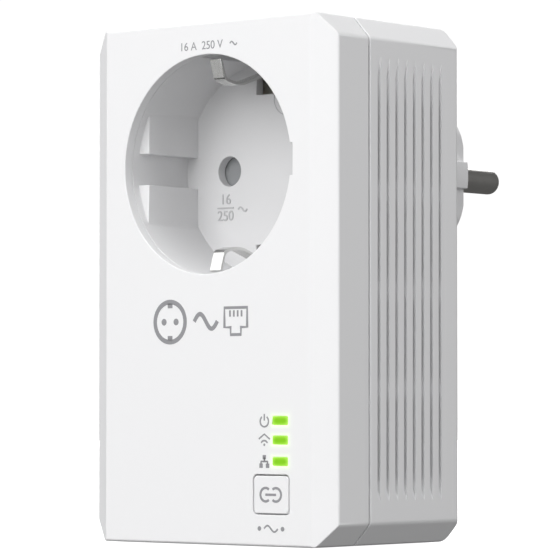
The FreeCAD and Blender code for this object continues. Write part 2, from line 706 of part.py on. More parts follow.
def socket_cup():
    """Socket well with key blocks, clip channels, pin holes, shutter post and screw ears."""
    body = rod(CUP_RADIUS, CUP_FRONT, FLOOR_BACK)
    pocket = clip_pocket(CHANNEL_WALL, CUP_FRONT, FLOOR_BACK, RECESS_RADIUS - 2)
    ear = box(CUP_RADIUS - 1, CUP_RADIUS + EAR_REACH, EAR_BACK - EAR_THICKNESS, EAR_BACK,
              -EAR_HEIGHT / 2, EAR_HEIGHT / 2)
    body = body.fuse([pocket, flipped(pocket)] + pair(ear))
    body = body.cut([rod(RECESS_RADIUS, CUP_FRONT - 1, FLOOR_FRONT)])
    posts = [rod(CARRIER_BOSS_RADIUS, FLOOR_BACK, CARRIER_FRONT, x, z)
             for x, z in carrier_screw_places()]
    posts.append(rod(SHUTTER_POST, FLOOR_BACK, CARRIER_FRONT - TONGUE_CLEARANCE))
    body = body.fuse(key_blocks() + posts)
    channel = clip_pocket(0, CUP_FRONT - 1, FLOOR_FRONT, CLIP_SLOT_START + 1)
    slot = box(-CLIP_SLOT_WIDTH / 2, CLIP_SLOT_WIDTH / 2, FLOOR_FRONT - 1, FLOOR_BACK + 1,
               CLIP_SLOT_START, CLIP_SLOT_END)
    cuts = [channel, flipped(channel), slot, flipped(slot), key_notch(CUP_FRONT - 1, FLOOR_FRONT)]
    cuts += [rod(PIN_HOLE_RADIUS, FLOOR_FRONT - 1, FLOOR_BACK + 1, s * PIN_X) for s in (-1, 1)]
    depth = CARRIER_SCREW_LENGTH - CARRIER_PLATE + FIT_GAP
    for x, z in carrier_screw_places():
        cuts.append(rod(CARRIER_SCREW[0] + FIT_GAP, CARRIER_FRONT - depth, CARRIER_FRONT, x, z))
    ear_hole = rod(BOARD_SCREW[0] + SCREW_HOLE_GAP, EAR_BACK - EAR_THICKNESS - 1, EAR_BACK + 1, EAR_X)
    return body.cut(cuts + pair(ear_hole))


def socket_screws():
    """Two screws through the cup's ears into the front cover."""
    return [screw(BOARD_SCREW, SOCKET_SCREW_LENGTH, x, 0, EAR_BACK) for x in (-EAR_X, EAR_X)]


def shutter():
    """Turning safety shutter with a pad behind each pin hole."""
    bar = box(-PIN_X, PIN_X, SHUTTER_FRONT, SHUTTER_BACK, -SHUTTER_ARM / 2, SHUTTER_ARM / 2)
    pads = [rod(SHUTTER_PAD_RADIUS, SHUTTER_FRONT, SHUTTER_BACK, s * PIN_X) for s in (-1, 1)]
    body = bar.fuse(pads + [rod(SHUTTER_HUB_RADIUS, SHUTTER_FRONT, SHUTTER_BACK)])
    peg = rod(PEG_RADIUS, SHUTTER_FRONT, SHUTTER_BACK + PEG_HEIGHT, SPRING_LEG)
    hole = rod(SHUTTER_POST + FIT_GAP, SHUTTER_FRONT - 1, SHUTTER_BACK + 1)
    return body.fuse(peg).cut(hole)


def shutter_spring():
    """Small torsion spring round the shutter post, with a leg against the shutter's peg."""
    height = SPRING_PITCH * SPRING_TURNS
    helix = Part.makeHelix(SPRING_PITCH, height, SPRING_RADIUS)
    ring = Part.Wire(Part.makeCircle(SPRING_WIRE, V(SPRING_RADIUS, 0, 0), V(0, 1, 0)))
    coil = Part.Wire(helix.Edges).makePipeShell([ring], True, True)
    legs = [Part.makeCylinder(SPRING_WIRE, SPRING_LEG, V(SPRING_RADIUS, 0, z), V(0, side, 0))
            for z, side in ((0, -1), (height, 1))]
    body = coil.fuse(legs)
    body.rotate(V(0, 0, 0), V(1, 0, 0), -90)
    body.rotate(V(0, 0, 0), V(0, 1, 0), SPRING_TURN)
    body.translate(V(0, SHUTTER_BACK + SPRING_WIRE + SPRING_STAND, 0))
    return body


def root_bead(radius, half):
    """Round bead along X at the root of the upper clip."""
    return Part.makeCylinder(radius, 2 * half, V(-half, CLIP_ROOT_Y, CLIP_ROOT_Z), V(1, 0, 0))


def contact_carrier():
    """Moulding behind the socket floor that holds both pin contacts and the roots of the clips."""
    body = rod(CARRIER_RADIUS, CARRIER_FRONT, CARRIER_PLATE_BACK)
    half = CLIP_WIDTH / 2 + ROOT_EAR_WALL
    low, high = CLIP_ROOT_Z - ROOT_EAR_REACH, CLIP_ROOT_Z + ROOT_EAR_REACH
    ear = box(-half, half, CARRIER_FRONT, CLIP_ROOT_Y + BEAD_RADIUS, low, high)
    block = slab(2 * CARRIER_BODY_X, 2 * CARRIER_BODY_Z, CARRIER_CORNER, CARRIER_FRONT, CARRIER_BACK)
    body = body.fuse([ear, flipped(ear), block])
    cuts = []
    for side in (-1, 1):
        x = side * PIN_X
        cuts.append(rod(CARRIER_MOUTH, CARRIER_FRONT - 1, CARRIER_FRONT + 1, x))
        cuts.append(rod(CARRIER_CAVITY, TULIP_FRONT - PLATE_GAP, CARRIER_BACK - CARRIER_SEAT, x))
        cuts.append(rod(TULIP_RADIUS + FIT_GAP, CARRIER_BACK - CARRIER_SEAT - 1, CARRIER_BACK + 1, x))
    half = CLIP_WIDTH / 2 + ROOT_SIDE_GAP
    bead = root_bead(BEAD_RADIUS + FIT_GAP, half)
    low, high = CLIP_ROOT_Z - ROOT_MOUTH, CLIP_ROOT_Z + ROOT_MOUTH
    mouth = box(-half, half, CARRIER_FRONT - 1, CLIP_ROOT_Y, low, high)
    cuts += [bead, flipped(bead), mouth, flipped(mouth)]
    for x, z in carrier_screw_places():
        cuts.append(rod(CARRIER_SCREW[0] + SCREW_HOLE_GAP, CARRIER_FRONT - 1, CARRIER_PLATE_BACK + 1, x, z))
    return body.cut(cuts)


def carrier_screws():
    """Four screws that hold the contact carrier to the socket cup."""
    return [screw(CARRIER_SCREW, CARRIER_SCREW_LENGTH, x, z, CARRIER_PLATE_BACK)
            for x, z in carrier_screw_places()]


def pin_contact(side):
    """Slit spring sleeve for one inserted pin, with a tail that runs back to the plug pin."""
    x = side * PIN_X
    sleeve = rod(TULIP_RADIUS, TULIP_FRONT, TULIP_BACK, x)
    sleeve = sleeve.cut(rod(TULIP_BORE, TULIP_FRONT - 1, TULIP_BACK, x))
    reach, half, end = TULIP_RADIUS + 1, TULIP_SLIT / 2, TULIP_FRONT + TULIP_SLIT_LENGTH
    slits = [box(x - reach, x + reach, TULIP_FRONT - 1, end, -half, half),
             box(x - half, x + half, TULIP_FRONT - 1, end, -reach, reach)]
    cap = rod(TULIP_RADIUS, TULIP_BACK, TULIP_BACK + TULIP_CAP, x)
    tail = box(x - TAIL_WIDTH / 2, x + TAIL_WIDTH / 2, TULIP_BACK, STUD_BACK,
               -TAIL_THICKNESS / 2, TAIL_THICKNESS / 2)
    return sleeve.cut(slits).fuse([cap, tail])


def earth_clip(flip):
    """Spring earth clip: tip, crown and heel, with a round root held in the carrier."""
    points = [CLIP_TIP, CLIP_SHOULDER, CLIP_CROWN, (CLIP_HEEL_DEPTH, CLIP_ROOT_Z)]
    points = [(FRONT + depth, z) for depth, z in points] + [(CLIP_ROOT_Y, CLIP_ROOT_Z)]
    radii = [0, CLIP_SHOULDER_ROUND, CLIP_CROWN_ROUND, CLIP_HEEL_ROUND, 0]
    half = CLIP_WIDTH / 2
    body = strip(points, radii, CLIP_THICKNESS, "YZ", -half, half)
    body = body.fuse(root_bead(BEAD_RADIUS, half))
    return flipped(body) if flip else body


# ---- Plug ----
def plug_pin(side):
    """Round plug pin with a rounded tip, a neck in the hub's end wall, a flange behind it and a stud."""
    x = side * PIN_X
    pin = rod(PIN_RADIUS, 0, PIN_LENGTH, x)
    tip = [e for e in pin.Edges if abs(e.CenterOfMass.y - PIN_LENGTH) < 1e-6]
    pin = pin.makeFillet(PIN_TIP_ROUND, tip)
    neck = rod(PIN_NECK_RADIUS, -HUB_CAP, 0, x)
    flange = rod(FLANGE_RADIUS, FLANGE_BACK, -HUB_CAP, x)
    stud = rod(STUD_RADIUS, STUD_BACK, FLANGE_BACK, x)
    return pin.fuse([neck, flange, stud])


def pin_retainer():
    """Disc that holds both pin flanges against the hub's end wall."""
    body = rod(RETAINER_RADIUS, FLANGE_BACK - RETAINER_THICKNESS, FLANGE_BACK)
    cuts = [rod(STUD_RADIUS + FIT_GAP, STUD_BACK, 0, side * PIN_X) for side in (-1, 1)]
    cuts.append(rod(SLEEVE_BORE + SLEEVE_WALL + FIT_GAP, STUD_BACK, 0, 0, SLEEVE_Z))
    return body.cut(cuts)


def earth_plate(flip):
    """Earth contact plate on the hub, with a leg that reaches in to the strap."""
    z = EARTH_FACE - EARTH_THICKNESS / 2
    inner = STRAP_Z + EARTH_THICKNESS / 2
    points = [(-EARTH_PLATE_START, z), (EARTH_LEG_Y, z), (EARTH_LEG_Y, inner)]
    body = strip(points, [0, EARTH_BEND, 0], EARTH_THICKNESS, "YZ", -EARTH_WIDTH / 2, EARTH_WIDTH / 2)
    return flipped(body) if flip else body


def earth_strap():
    """Bent strap that joins both clip roots, both earth plates and the sleeve."""
    half = [(STRAP_FRONT_Y, STRAP_END), (STRAP_FRONT_Y, STRAP_Z), (STRAP_BACK_Y, STRAP_Z)]
    points = half + [(y, -z) for y, z in half[::-1]]
    radii = [0] + [STRAP_BEND] * 4 + [0]
    return strip(points, radii, EARTH_THICKNESS, "YZ", -STRAP_WIDTH / 2, STRAP_WIDTH / 2)


def earth_sleeve():
    """Sleeve in the hub that takes the earth pin of a socket that has one."""
    back = STRAP_BACK_Y + EARTH_THICKNESS / 2
    outer = rod(SLEEVE_BORE + SLEEVE_WALL, back, 0, 0, SLEEVE_Z)
    return outer.cut(rod(SLEEVE_BORE, back + 1, 1, 0, SLEEVE_Z))


def mains_lead(side):
    """Lead from one contact tail, down behind the carrier and forward to the board."""
    tap = (TULIP_BACK + TULIP_CAP + STUD_BACK) / 2
    points = [(tap, -TAIL_THICKNESS / 2), (tap, -LEAD_DROP), (LEAD_Y, -LEAD_DROP),
              (LEAD_Y, LEAD_END_Z), (BOARD_BACK, LEAD_END_Z)]
    return round_wire(points, LEAD_BEND, LEAD_RADIUS, side * PIN_X)


# ---- Board ----
def board_place(place):
    """Place on the board from x and the distance below its top edge."""
    return place[0], BOARD_TOP - place[1]


def behind_board(size, corner, x, z):
    """Block that stands on the rear face of the board."""
    return slab(size[0], size[1], corner, BOARD_BACK, BOARD_BACK + size[2], x, z)


def before_board(size, corner, x, z):
    """Block that stands on the front face of the board."""
    return slab(size[0], size[1], corner, BOARD_FRONT - size[2], BOARD_FRONT, x, z)


def main_board():
    """Circuit board with holes for its screws and notches round the lower case screw posts."""
    body = box(-BOARD_HALF, BOARD_HALF, BOARD_FRONT, BOARD_BACK, BOARD_BASE, BOARD_TOP)
    edge = FRONT_BOSS_RADIUS + RIB_GAP
    notch = box(BOSS_X - edge, HALF, FRONT, REAR, BASE, BOSS_ROWS[1] + edge)
    holes = [rod(BOARD_SCREW[0] + SCREW_HOLE_GAP, FRONT, REAR, x, z) for x, z in board_screw_places()]
    return body.cut(pair(notch) + holes)


def board_screws():
    """Four screws that hold the board to the front cover."""
    return [screw(BOARD_SCREW, BOARD_SCREW_LENGTH, x, z, BOARD_BACK) for x, z in board_screw_places()]


def power_transformer_core():
    """Ferrite core with two windows."""
    x, z = board_place(TRANSFORMER_AT)
    core = behind_board(CORE_SIZE, CORE_CORNER, x, z)
    y0, y1 = BOARD_BACK + CORE_YOKE, BOARD_BACK + CORE_SIZE[2] - CORE_YOKE
    for start in (x + CORE_LEG / 2, x - CORE_LEG / 2 - CORE_WINDOW):
        core = core.cut(box(start, start + CORE_WINDOW, y0, y1, z - CORE_SIZE[1], z + CORE_SIZE[1]))
    return core


def power_transformer_winding():
    """Taped winding round the core's middle leg."""
    x, z = board_place(TRANSFORMER_AT)
    y0, y1 = BOARD_BACK + CORE_YOKE + COIL_GAP, BOARD_BACK + CORE_SIZE[2] - CORE_YOKE - COIL_GAP
    width = CORE_LEG + 2 * (CORE_WINDOW - COIL_GAP)
    a, b = CORE_LEG / 2 + FIT_GAP, CORE_SIZE[1] / 2 + FIT_GAP
    block = slab(width, COIL_DEPTH, COIL_CORNER, y0, y1, x, z)
    return block.cut(box(x - a, x + a, y0 - 1, y1 + 1, z - b, z + b))


def can(size, place):
    """Upright electrolytic capacitor can with its crimped waist and scored top."""
    radius, height = size
    x, z = board_place(place)
    out, wire, lift = CAN_WAIST
    waist = Part.makeTorus(radius + out, wire, V(x, BOARD_BACK + lift, z), V(0, 1, 0))
    top = BOARD_BACK + height
    share, half, depth = CAN_SCORE
    reach = radius * share
    score = [box(x - a, x + a, top - depth, top + 1, z - b, z + b) for a, b in ((reach, half), (half, reach))]
    return rod(radius, BOARD_BACK, top, x, z).cut([waist] + score)


def surge_varistor():
    """Coated disc on two short legs."""
    x, z = board_place(VARISTOR_AT)
    radius, thickness, edge = VARISTOR
    centre = V(x, BOARD_BACK + VARISTOR_STAND + radius, z - thickness / 2)
    disc = Part.makeCylinder(radius, thickness, centre, V(0, 0, 1))
    disc = disc.makeFillet(edge, [e for e in disc.Edges if len(e.Vertexes) == 1])
    leg, length, offset = VARISTOR_LEG
    return disc.fuse([rod(leg, BOARD_BACK, BOARD_BACK + length, x + side * offset, z) for side in (-1, 1)])


def fuse():
    """Round moulded fuse."""
    radius, height = FUSE
    return rod(radius, BOARD_BACK, BOARD_BACK + height, *board_place(FUSE_AT))


def line_choke():
    """Wound toroid that lies on the board."""
    x, z = board_place(CHOKE_AT)
    radius, wire, lift = CHOKE
    ring = Part.makeTorus(radius, wire, V(x, BOARD_BACK + lift, z), V(0, 1, 0))
    leg, length = CHOKE_LEG
    return ring.fuse([rod(leg, BOARD_BACK, BOARD_BACK + length, x + side * radius, z) for side in (-1, 1)])


def powerline_chip():
    """Main chip under the heat sink."""
    return behind_board(CHIP_SIZE, CHIP_CORNER, CHIP_X, CHIP_Z)


def thermal_pad():
    """Soft pad between the chip and the heat sink."""
    y0 = BOARD_BACK + CHIP_SIZE[2]
    return slab(CHIP_SIZE[0], CHIP_SIZE[1], PAD_CORNER, y0, y0 + PAD_THICKNESS, CHIP_X, CHIP_Z)


def heat_sink():
    """Finned block on the chip."""
    y0 = BOARD_BACK + CHIP_SIZE[2] + PAD_THICKNESS
    a, b = SINK_SIZE[0] / 2, SINK_SIZE[1] / 2
    body = box(CHIP_X - a, CHIP_X + a, y0, y0 + SINK_BASE, CHIP_Z - b, CHIP_Z + b)
    pitch = (SINK_SIZE[0] - FIN_THICKNESS) / (FIN_COUNT - 1)
    fins = []
    for i in range(FIN_COUNT):
        x = CHIP_X - a + i * pitch
        fins.append(box(x, x + FIN_THICKNESS, y0, y0 + SINK_SIZE[2], CHIP_Z - b, CHIP_Z + b))
    return body.fuse(fins)


def status_leds():
    """One lamp behind each leg of the light pipe."""
    return [before_board(LED_SIZE, LED_CORNER, WINDOW_X, z) for z in WINDOW_ROWS]


def light_pipe():
    """Clear moulding: three window tips, one flange behind the front face and a leg to each lamp."""
    y0 = INNER_FRONT + FIT_GAP
    y1 = y0 + PIPE_FLANGE_THICKNESS
    end = BOARD_FRONT - LED_SIZE[2] - LED_GAP
    high, low = WINDOW_ROWS[0], WINDOW_ROWS[-1]
    width = WINDOW_SIZE[0] + 2 * PIPE_FLANGE
    height = high - low + WINDOW_SIZE[1] + 2 * PIPE_FLANGE_END
    body = slab(width, height, PIPE_CORNER, y0, y1, WINDOW_X, (high + low) / 2)
    for z in WINDOW_ROWS:
        tip = slab(WINDOW_SIZE[0], WINDOW_SIZE[1], WINDOW_CORNER, FRONT, y1, WINDOW_X, z)
        leg = slab(PIPE_LEG[0], PIPE_LEG[1], PIPE_LEG_CORNER, y0, end, WINDOW_X, z)
        body = body.fuse([tip, leg])
    return body


def pair_button():
    """Push button: cap flush with the front face, a flange behind it and a stem to the switch."""
    width, height = BUTTON_SIZE
    back = INNER_FRONT + BUTTON_BEHIND
    cap = slab(width, height, BUTTON_CORNER, FRONT, back, BUTTON_X, BUTTON_Z)
    edge = [e for e in cap.Edges if abs(e.CenterOfMass.y - FRONT) < 1e-6]
    cap = cap.makeFillet(BUTTON_EDGE, edge)
    y0 = INNER_FRONT + FIT_GAP
    y1 = y0 + BUTTON_FLANGE_THICKNESS
    grow = 2 * BUTTON_FLANGE
    flange = slab(width + grow, height + grow, BUTTON_CORNER, y0, y1, BUTTON_X, BUTTON_Z)
    stem = rod(BUTTON_STEM_RADIUS, y0, PLUNGER_TIP - PLUNGER_GAP, BUTTON_X, BUTTON_Z)
    return cap.fuse([flange, stem])


def tact_switch():
    """Tactile switch body with a bore for its plunger."""
    body = before_board(SWITCH_SIZE, SWITCH_CORNER, BUTTON_X, BUTTON_Z)
    front = BOARD_FRONT - SWITCH_SIZE[2]
    bore = rod(PLUNGER_RADIUS + FIT_GAP, front - 1, front + SWITCH_CAVITY, BUTTON_X, BUTTON_Z)
    return body.cut(bore)


def switch_plunger():
    """Plunger of the tactile switch, with room behind it for its travel."""
    back = BOARD_FRONT - SWITCH_SIZE[2] + SWITCH_CAVITY - BUTTON_TRAVEL - PLATE_GAP
    return rod(PLUNGER_RADIUS, PLUNGER_TIP, back, BUTTON_X, BUTTON_Z)


# ---- Network jack ----
def port_space(z0, z1, grow=0.0):
    """Mouth of the jack with its latch notch, from z0 up to z1."""
    y0 = BOARD_BACK + PORT_LIFT
    y1 = y0 + PORT_HEIGHT
    half, notch = PORT_WIDTH / 2 + grow, LATCH_WIDTH / 2 + grow
    mouth = box(-half, half, y0 - grow, y1 + grow, z0, z1)
    return mouth.fuse(box(-notch, notch, y1 - 1, y1 + LATCH_HEIGHT + grow, z0, z1))


def ethernet_jack_shield():
    """Folded metal shell round the jack, open towards the board."""
    a = JACK_SIZE[0] / 2
    outer = box(-a, a, BOARD_BACK, JACK_BACK, JACK_BASE, JACK_TOP)
    inner = box(-a + SHIELD, a - SHIELD, BOARD_BACK - 1, JACK_BACK - SHIELD,
                JACK_BASE + SHIELD, JACK_TOP - SHIELD)
    return outer.cut([inner, port_space(JACK_BASE - 1, JACK_BASE + 1)])


def ethernet_jack_housing():
    """Jack moulding with the plug space, the latch notch and the bed for the contacts."""
    a = JACK_SIZE[0] / 2 - SHIELD
    low = JACK_BASE + SHIELD
    body = box(-a, a, BOARD_BACK, JACK_BACK - SHIELD, low, JACK_TOP - SHIELD)
    bed = JACK_PIN_COUNT * JACK_PIN_PITCH / 2 + JACK_BED_GAP
    y0 = BOARD_BACK + JACK_BED_LIFT
    top = low + PORT_DEPTH
    pit = box(-bed, bed, y0, BOARD_BACK + PORT_LIFT + 1, low + JACK_BED_LIP, top)
    slot = box(-bed, bed, BOARD_BACK - 1, y0 + 1, top - JACK_FOOT_SLOT, top)
    return body.cut([port_space(low - 1, top), pit, slot])


def ethernet_jack_contacts():
    """Eight spring wires that fold back into the plug space from the mouth of the jack."""
    y = BOARD_BACK + JACK_PIN_RISE
    foot = JACK_BASE + SHIELD + PORT_DEPTH - JACK_PIN_FOOT
    fold = JACK_BASE + SHIELD + JACK_PIN_FOLD
    rise, run = JACK_PIN_SLOPE
    points = [(BOARD_BACK, foot), (y, foot), (y, fold), (y + rise, fold + run)]
    radii = [0, *JACK_PIN_BENDS, 0]
    wires = []
    for i in range(JACK_PIN_COUNT):
        x = (i - (JACK_PIN_COUNT - 1) / 2) * JACK_PIN_PITCH
        a, b = x - JACK_PIN_WIDTH / 2, x + JACK_PIN_WIDTH / 2
        wires.append(strip(points, radii, JACK_PIN_THICKNESS, "YZ", a, b))
    return wires


def nodes():
    """Every piece of the adapter by name."""
    return {
        "front_cover": front_cover(),
        "rear_cover": rear_cover(),
        "case_screws": case_screws(),
        "rear_label": rear_label(),
        "plug_hub": plug_hub(),
        "socket_cup": socket_cup(),
        "socket_screws": socket_screws(),
        "shutter": shutter(),
        "shutter_spring": shutter_spring(),
        "contact_carrier": contact_carrier(),
        "carrier_screws": carrier_screws(),
        "live_contact": pin_contact(1),
        "neutral_contact": pin_contact(-1),
        "earth_clip_top": earth_clip(False),
        "earth_clip_bottom": earth_clip(True),
        "live_pin": plug_pin(1),
        "neutral_pin": plug_pin(-1),
        "pin_retainer": pin_retainer(),
        "earth_plate_top": earth_plate(False),
        "earth_plate_bottom": earth_plate(True),
        "earth_strap": earth_strap(),
        "earth_sleeve": earth_sleeve(),
        "live_lead": mains_lead(1),
        "neutral_lead": mains_lead(-1),
        "main_board": main_board(),
        "board_screws": board_screws(),
        "power_transformer_core": power_transformer_core(),
        "power_transformer_winding": power_transformer_winding(),
        "bulk_capacitor": can(BULK_CAN, BULK_CAN_AT),
        "output_capacitor": can(OUTPUT_CAN, OUTPUT_CAN_AT),
        "mains_filter_capacitor": behind_board(FILTER_SIZE, FILTER_CORNER, *board_place(FILTER_AT)),
        "surge_varistor": surge_varistor(),
        "fuse": fuse(),
        "line_choke": line_choke(),
        "coupling_transformer": behind_board(COUPLER_SIZE, COUPLER_CORNER, *board_place(COUPLER_AT)),
        "powerline_chip": powerline_chip(),
        "thermal_pad": thermal_pad(),
        "heat_sink": heat_sink(),
        "ethernet_transformer": before_board(PORT_COIL_SIZE, CHIP_CORNER, *board_place(PORT_COIL_AT)),
        "memory_chip": before_board(MEMORY_SIZE, MEMORY_CORNER, *board_place(MEMORY_AT)),
        "clock_crystal": before_board(CRYSTAL_SIZE, CRYSTAL_CORNER, *board_place(CRYSTAL_AT)),
        "status_leds": status_leds(),
        "light_pipe": light_pipe(),
        "tact_switch": tact_switch(),
        "switch_plunger": switch_plunger(),
        "pair_button": pair_button(),
        "ethernet_jack_shield": ethernet_jack_shield(),
        "ethernet_jack_housing": ethernet_jack_housing(),
        "ethernet_jack_contacts": ethernet_jack_contacts(),
    }


def save(name, shape):
    """Write one node, checked, as a STEP file."""
    solids = []
    for piece in shape if isinstance(shape, list) else [shape]:
        solids += piece.removeSplitter().Solids
    result = solids[0] if len(solids) == 1 else Part.makeCompound(solids)
    if not result.isValid():
        raise ValueError(name + " is not a valid solid")
    result.exportStep("parts/" + name + ".step")
    print(name, len(solids), round(result.Volume, 1))


os.makedirs("parts", exist_ok=True)
for node, form in nodes().items():
    save(node, form)
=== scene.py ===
"""Looks of a pass-through powerline adapter: refined case, socket, plug and board, with a studio stage.

Run as a script. Metres, in the part's own frame: the front faces -Y, the plug pins point along +Y and +Z is
up.
"""
import json
import math

import bmesh
import bpy
import numpy as np
from mathutils import Matrix, Vector

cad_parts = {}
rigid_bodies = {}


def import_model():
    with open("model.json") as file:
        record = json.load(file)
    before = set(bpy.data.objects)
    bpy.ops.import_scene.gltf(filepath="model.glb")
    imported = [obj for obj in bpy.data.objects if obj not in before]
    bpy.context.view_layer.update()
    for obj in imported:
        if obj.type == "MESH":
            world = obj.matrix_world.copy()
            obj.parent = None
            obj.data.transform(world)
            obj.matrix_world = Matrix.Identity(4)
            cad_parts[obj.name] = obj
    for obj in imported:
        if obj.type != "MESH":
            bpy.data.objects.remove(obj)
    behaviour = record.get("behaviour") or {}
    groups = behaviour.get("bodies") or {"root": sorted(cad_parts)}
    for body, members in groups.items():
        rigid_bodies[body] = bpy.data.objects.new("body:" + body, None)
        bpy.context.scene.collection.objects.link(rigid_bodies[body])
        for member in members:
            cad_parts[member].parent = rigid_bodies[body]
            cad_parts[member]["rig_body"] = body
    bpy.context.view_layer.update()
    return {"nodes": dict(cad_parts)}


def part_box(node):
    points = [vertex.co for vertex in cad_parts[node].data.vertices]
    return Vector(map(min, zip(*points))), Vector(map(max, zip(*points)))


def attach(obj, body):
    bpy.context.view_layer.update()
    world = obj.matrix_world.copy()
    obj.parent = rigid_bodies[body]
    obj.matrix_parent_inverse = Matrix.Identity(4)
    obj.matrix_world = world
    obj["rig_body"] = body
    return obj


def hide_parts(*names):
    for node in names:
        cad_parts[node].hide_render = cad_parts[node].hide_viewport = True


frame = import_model()

bl_info = {
    "name": "Powerline Adapter Looks",
    "version": (1, 0, 0),
    "blender": (4, 5, 0),
    "location": "3D View > Sidebar > Adapter",
    "description": "Builds the finished pieces, materials and stage of a pass-through powerline adapter",
    "category": "Object",
}

MM = 0.001
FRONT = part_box("front_cover")[0].y
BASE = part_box("front_cover")[0].z

# Socket
RECESS_DEPTH = 17.5 * MM
FIGURES_X = -10.4 * MM
FIGURES_HEIGHT = 1.9 * MM
EJECTOR_X = 4.6 * MM
EJECTOR_Z = 13 * MM
EJECTOR_RADIUS = 3.1 * MM

# Front prints
ICON_X = 13.95 * MM
ICON_SIZE = 2.3 * MM
ICON_LINE = 0.3 * MM
BUTTON_X = 15.5 * MM
ROW_Z = -28.6 * MM
UNDER_BUTTON_Z = -65.8 * MM
RATING_Z = 21.6 * MM

# Gaps between the window points of the light pipe are wider than this between two windows
WINDOW_GAP = 1.75 * MM


# ---- Surfaces worked out with numpy ----


def stitched(rows, columns, closed):
    """Faces of a grid of rows x columns points, where point (i, j) is number i * columns + j.

    Each face joins (i, j), (i, j + 1), (i + 1, j + 1) and (i + 1, j). The columns close on themselves, and so
    do the rows if closed.
    """
    last = rows if closed else rows - 1
    i, j = np.meshgrid(np.arange(last), np.arange(columns), indexing="ij")
    i, j = i.ravel(), j.ravel()
    below, right = (i + 1) % rows, (j + 1) % columns
    return np.stack([i * columns + j, i * columns + right, below * columns + right, below * columns + j], 1)


def swept(path, section, closed=False):
    """A closed section carried along a path.

    At each path point the section's first axis lies along side = cross(tangent, up), where up is +Y, and its
    second along cross(side, tangent).
    """
    ahead = np.roll(path, -1, 0) - np.roll(path, 1, 0)
    if not closed:
        ahead[0] = path[1] - path[0]
        ahead[-1] = path[-1] - path[-2]
    tangent = ahead / np.linalg.norm(ahead, axis=1, keepdims=True)
    up = np.array([0.0, 1.0, 0.0])
    side = np.cross(tangent, up)
    side /= np.maximum(np.linalg.norm(side, axis=1, keepdims=True), 1e-9)
    lift = np.cross(side, tangent)
    points = path[:, None] + section[None, :, :1] * side[:, None] + section[None, :, 1:] * lift[:, None]
    faces = [tuple(f) for f in stitched(len(path), len(section), closed)]
    if not closed:
        ring = list(range(len(section)))
        end = (len(path) - 1) * len(section)
        faces += [tuple(reversed(ring)), tuple(end + k for k in ring)]
    return points.reshape(-1, 3), faces


def flat_path(x, z, y):
    """Points (x, y, z) of a line drawn on a face square to Y."""
    return np.stack([x, np.full_like(x, y), z], 1)


def stroke(x, z, width, y, thickness, closed=False):
    """A printed line: a rectangle, width by thickness, carried along the line (x, z) on a face at depth y."""
    half, deep = width / 2, thickness / 2
    section = np.array([(-half, -deep), (half, -deep), (half, deep), (-half, deep)])
    return swept(flat_path(x, z, y), section, closed)


def arc(cx, cz, radius, start, end, count=48):
    """Points of an arc: centre + radius * (cos a, sin a), with a running from start to end in degrees."""
    a = np.radians(np.linspace(start, end, count))
    return cx + radius * np.cos(a), cz + radius * np.sin(a)


def ring(cx, cz, radius, width, y, thickness):
    """A printed circle line of that radius."""
    x, z = arc(cx, cz, radius, 0, 360, 65)
    return stroke(x[:-1], z[:-1], width, y, thickness, True)


def plate(x, z, y, thickness):
    """A flat plate with its middle at depth y: the outline (x, z) at both faces, joined round the edge."""
    count = len(x)
    front = flat_path(x, z, y - thickness / 2)
    back = flat_path(x, z, y + thickness / 2)
    k = np.arange(count)
    n = (k + 1) % count
    faces = [tuple(f) for f in np.stack([k, k + count, n + count, n], 1)]
    faces += [tuple(k.tolist()), tuple((k[::-1] + count).tolist())]
    return np.concatenate([front, back]), faces


def disc(cx, cz, radius, y, thickness):
    """A round printed dot."""
    x, z = arc(cx, cz, radius, 0, 360, 33)
    return plate(x[:-1], z[:-1], y, thickness)


def bar(x0, z0, x1, z1, y, thickness):
    """A rectangle between two corners."""
    return plate(np.array([x0, x1, x1, x0]), np.array([z0, z0, z1, z1]), y, thickness)


def wave(cx, cz, length, height, count=40):
    """Points of one period of a sine: z = centre + height * sin(2 pi t), t from 0 to 1 along the length."""
    t = np.linspace(0, 1, count)
    return cx + (t - 0.5) * length, cz + height * np.sin(2 * math.pi * t)


def mesh_of(name, parts):
    """One mesh from several (points, faces), with its faces turned outwards."""
    points, faces, start = [], [], 0
    for some, theirs in parts:
        points.append(some)
        faces += [tuple(int(v) + start for v in f) for f in theirs]
        start += len(some)
    mesh = bpy.data.meshes.new(name)
    mesh.from_pydata(np.concatenate(points).tolist(), [], faces)
    solid = bmesh.new()
    solid.from_mesh(mesh)
    bmesh.ops.recalc_face_normals(solid, faces=solid.faces)
    solid.to_mesh(mesh)
    solid.free()
    return mesh


def lettering(text, height, cx, cz, y, thickness):
    """Raised or printed figures on a face square to Y, centred on (cx, cz), facing -Y."""
    curve = bpy.data.curves.new("figures", "FONT")
    curve.body = text
    curve.size = height / 0.7
    curve.extrude = thickness / 2
    curve.align_x = "CENTER"
    curve.align_y = "CENTER"
    holder = bpy.data.objects.new("figures", curve)
    bpy.context.scene.collection.objects.link(holder)
    bpy.context.view_layer.update()
    mesh = bpy.data.meshes.new_from_object(holder.evaluated_get(bpy.context.evaluated_depsgraph_get()))
    bpy.data.objects.remove(holder)
    place = Matrix.Translation((cx, y, cz)) @ Matrix.Rotation(math.radians(90), 4, "X")
    mesh.transform(place)
    points = np.empty(len(mesh.vertices) * 3)
    mesh.vertices.foreach_get("co", points)
    faces = [tuple(p.vertices) for p in mesh.polygons]
    bpy.data.meshes.remove(mesh)
    return points.reshape(-1, 3), faces


# ---- Shader maths ----


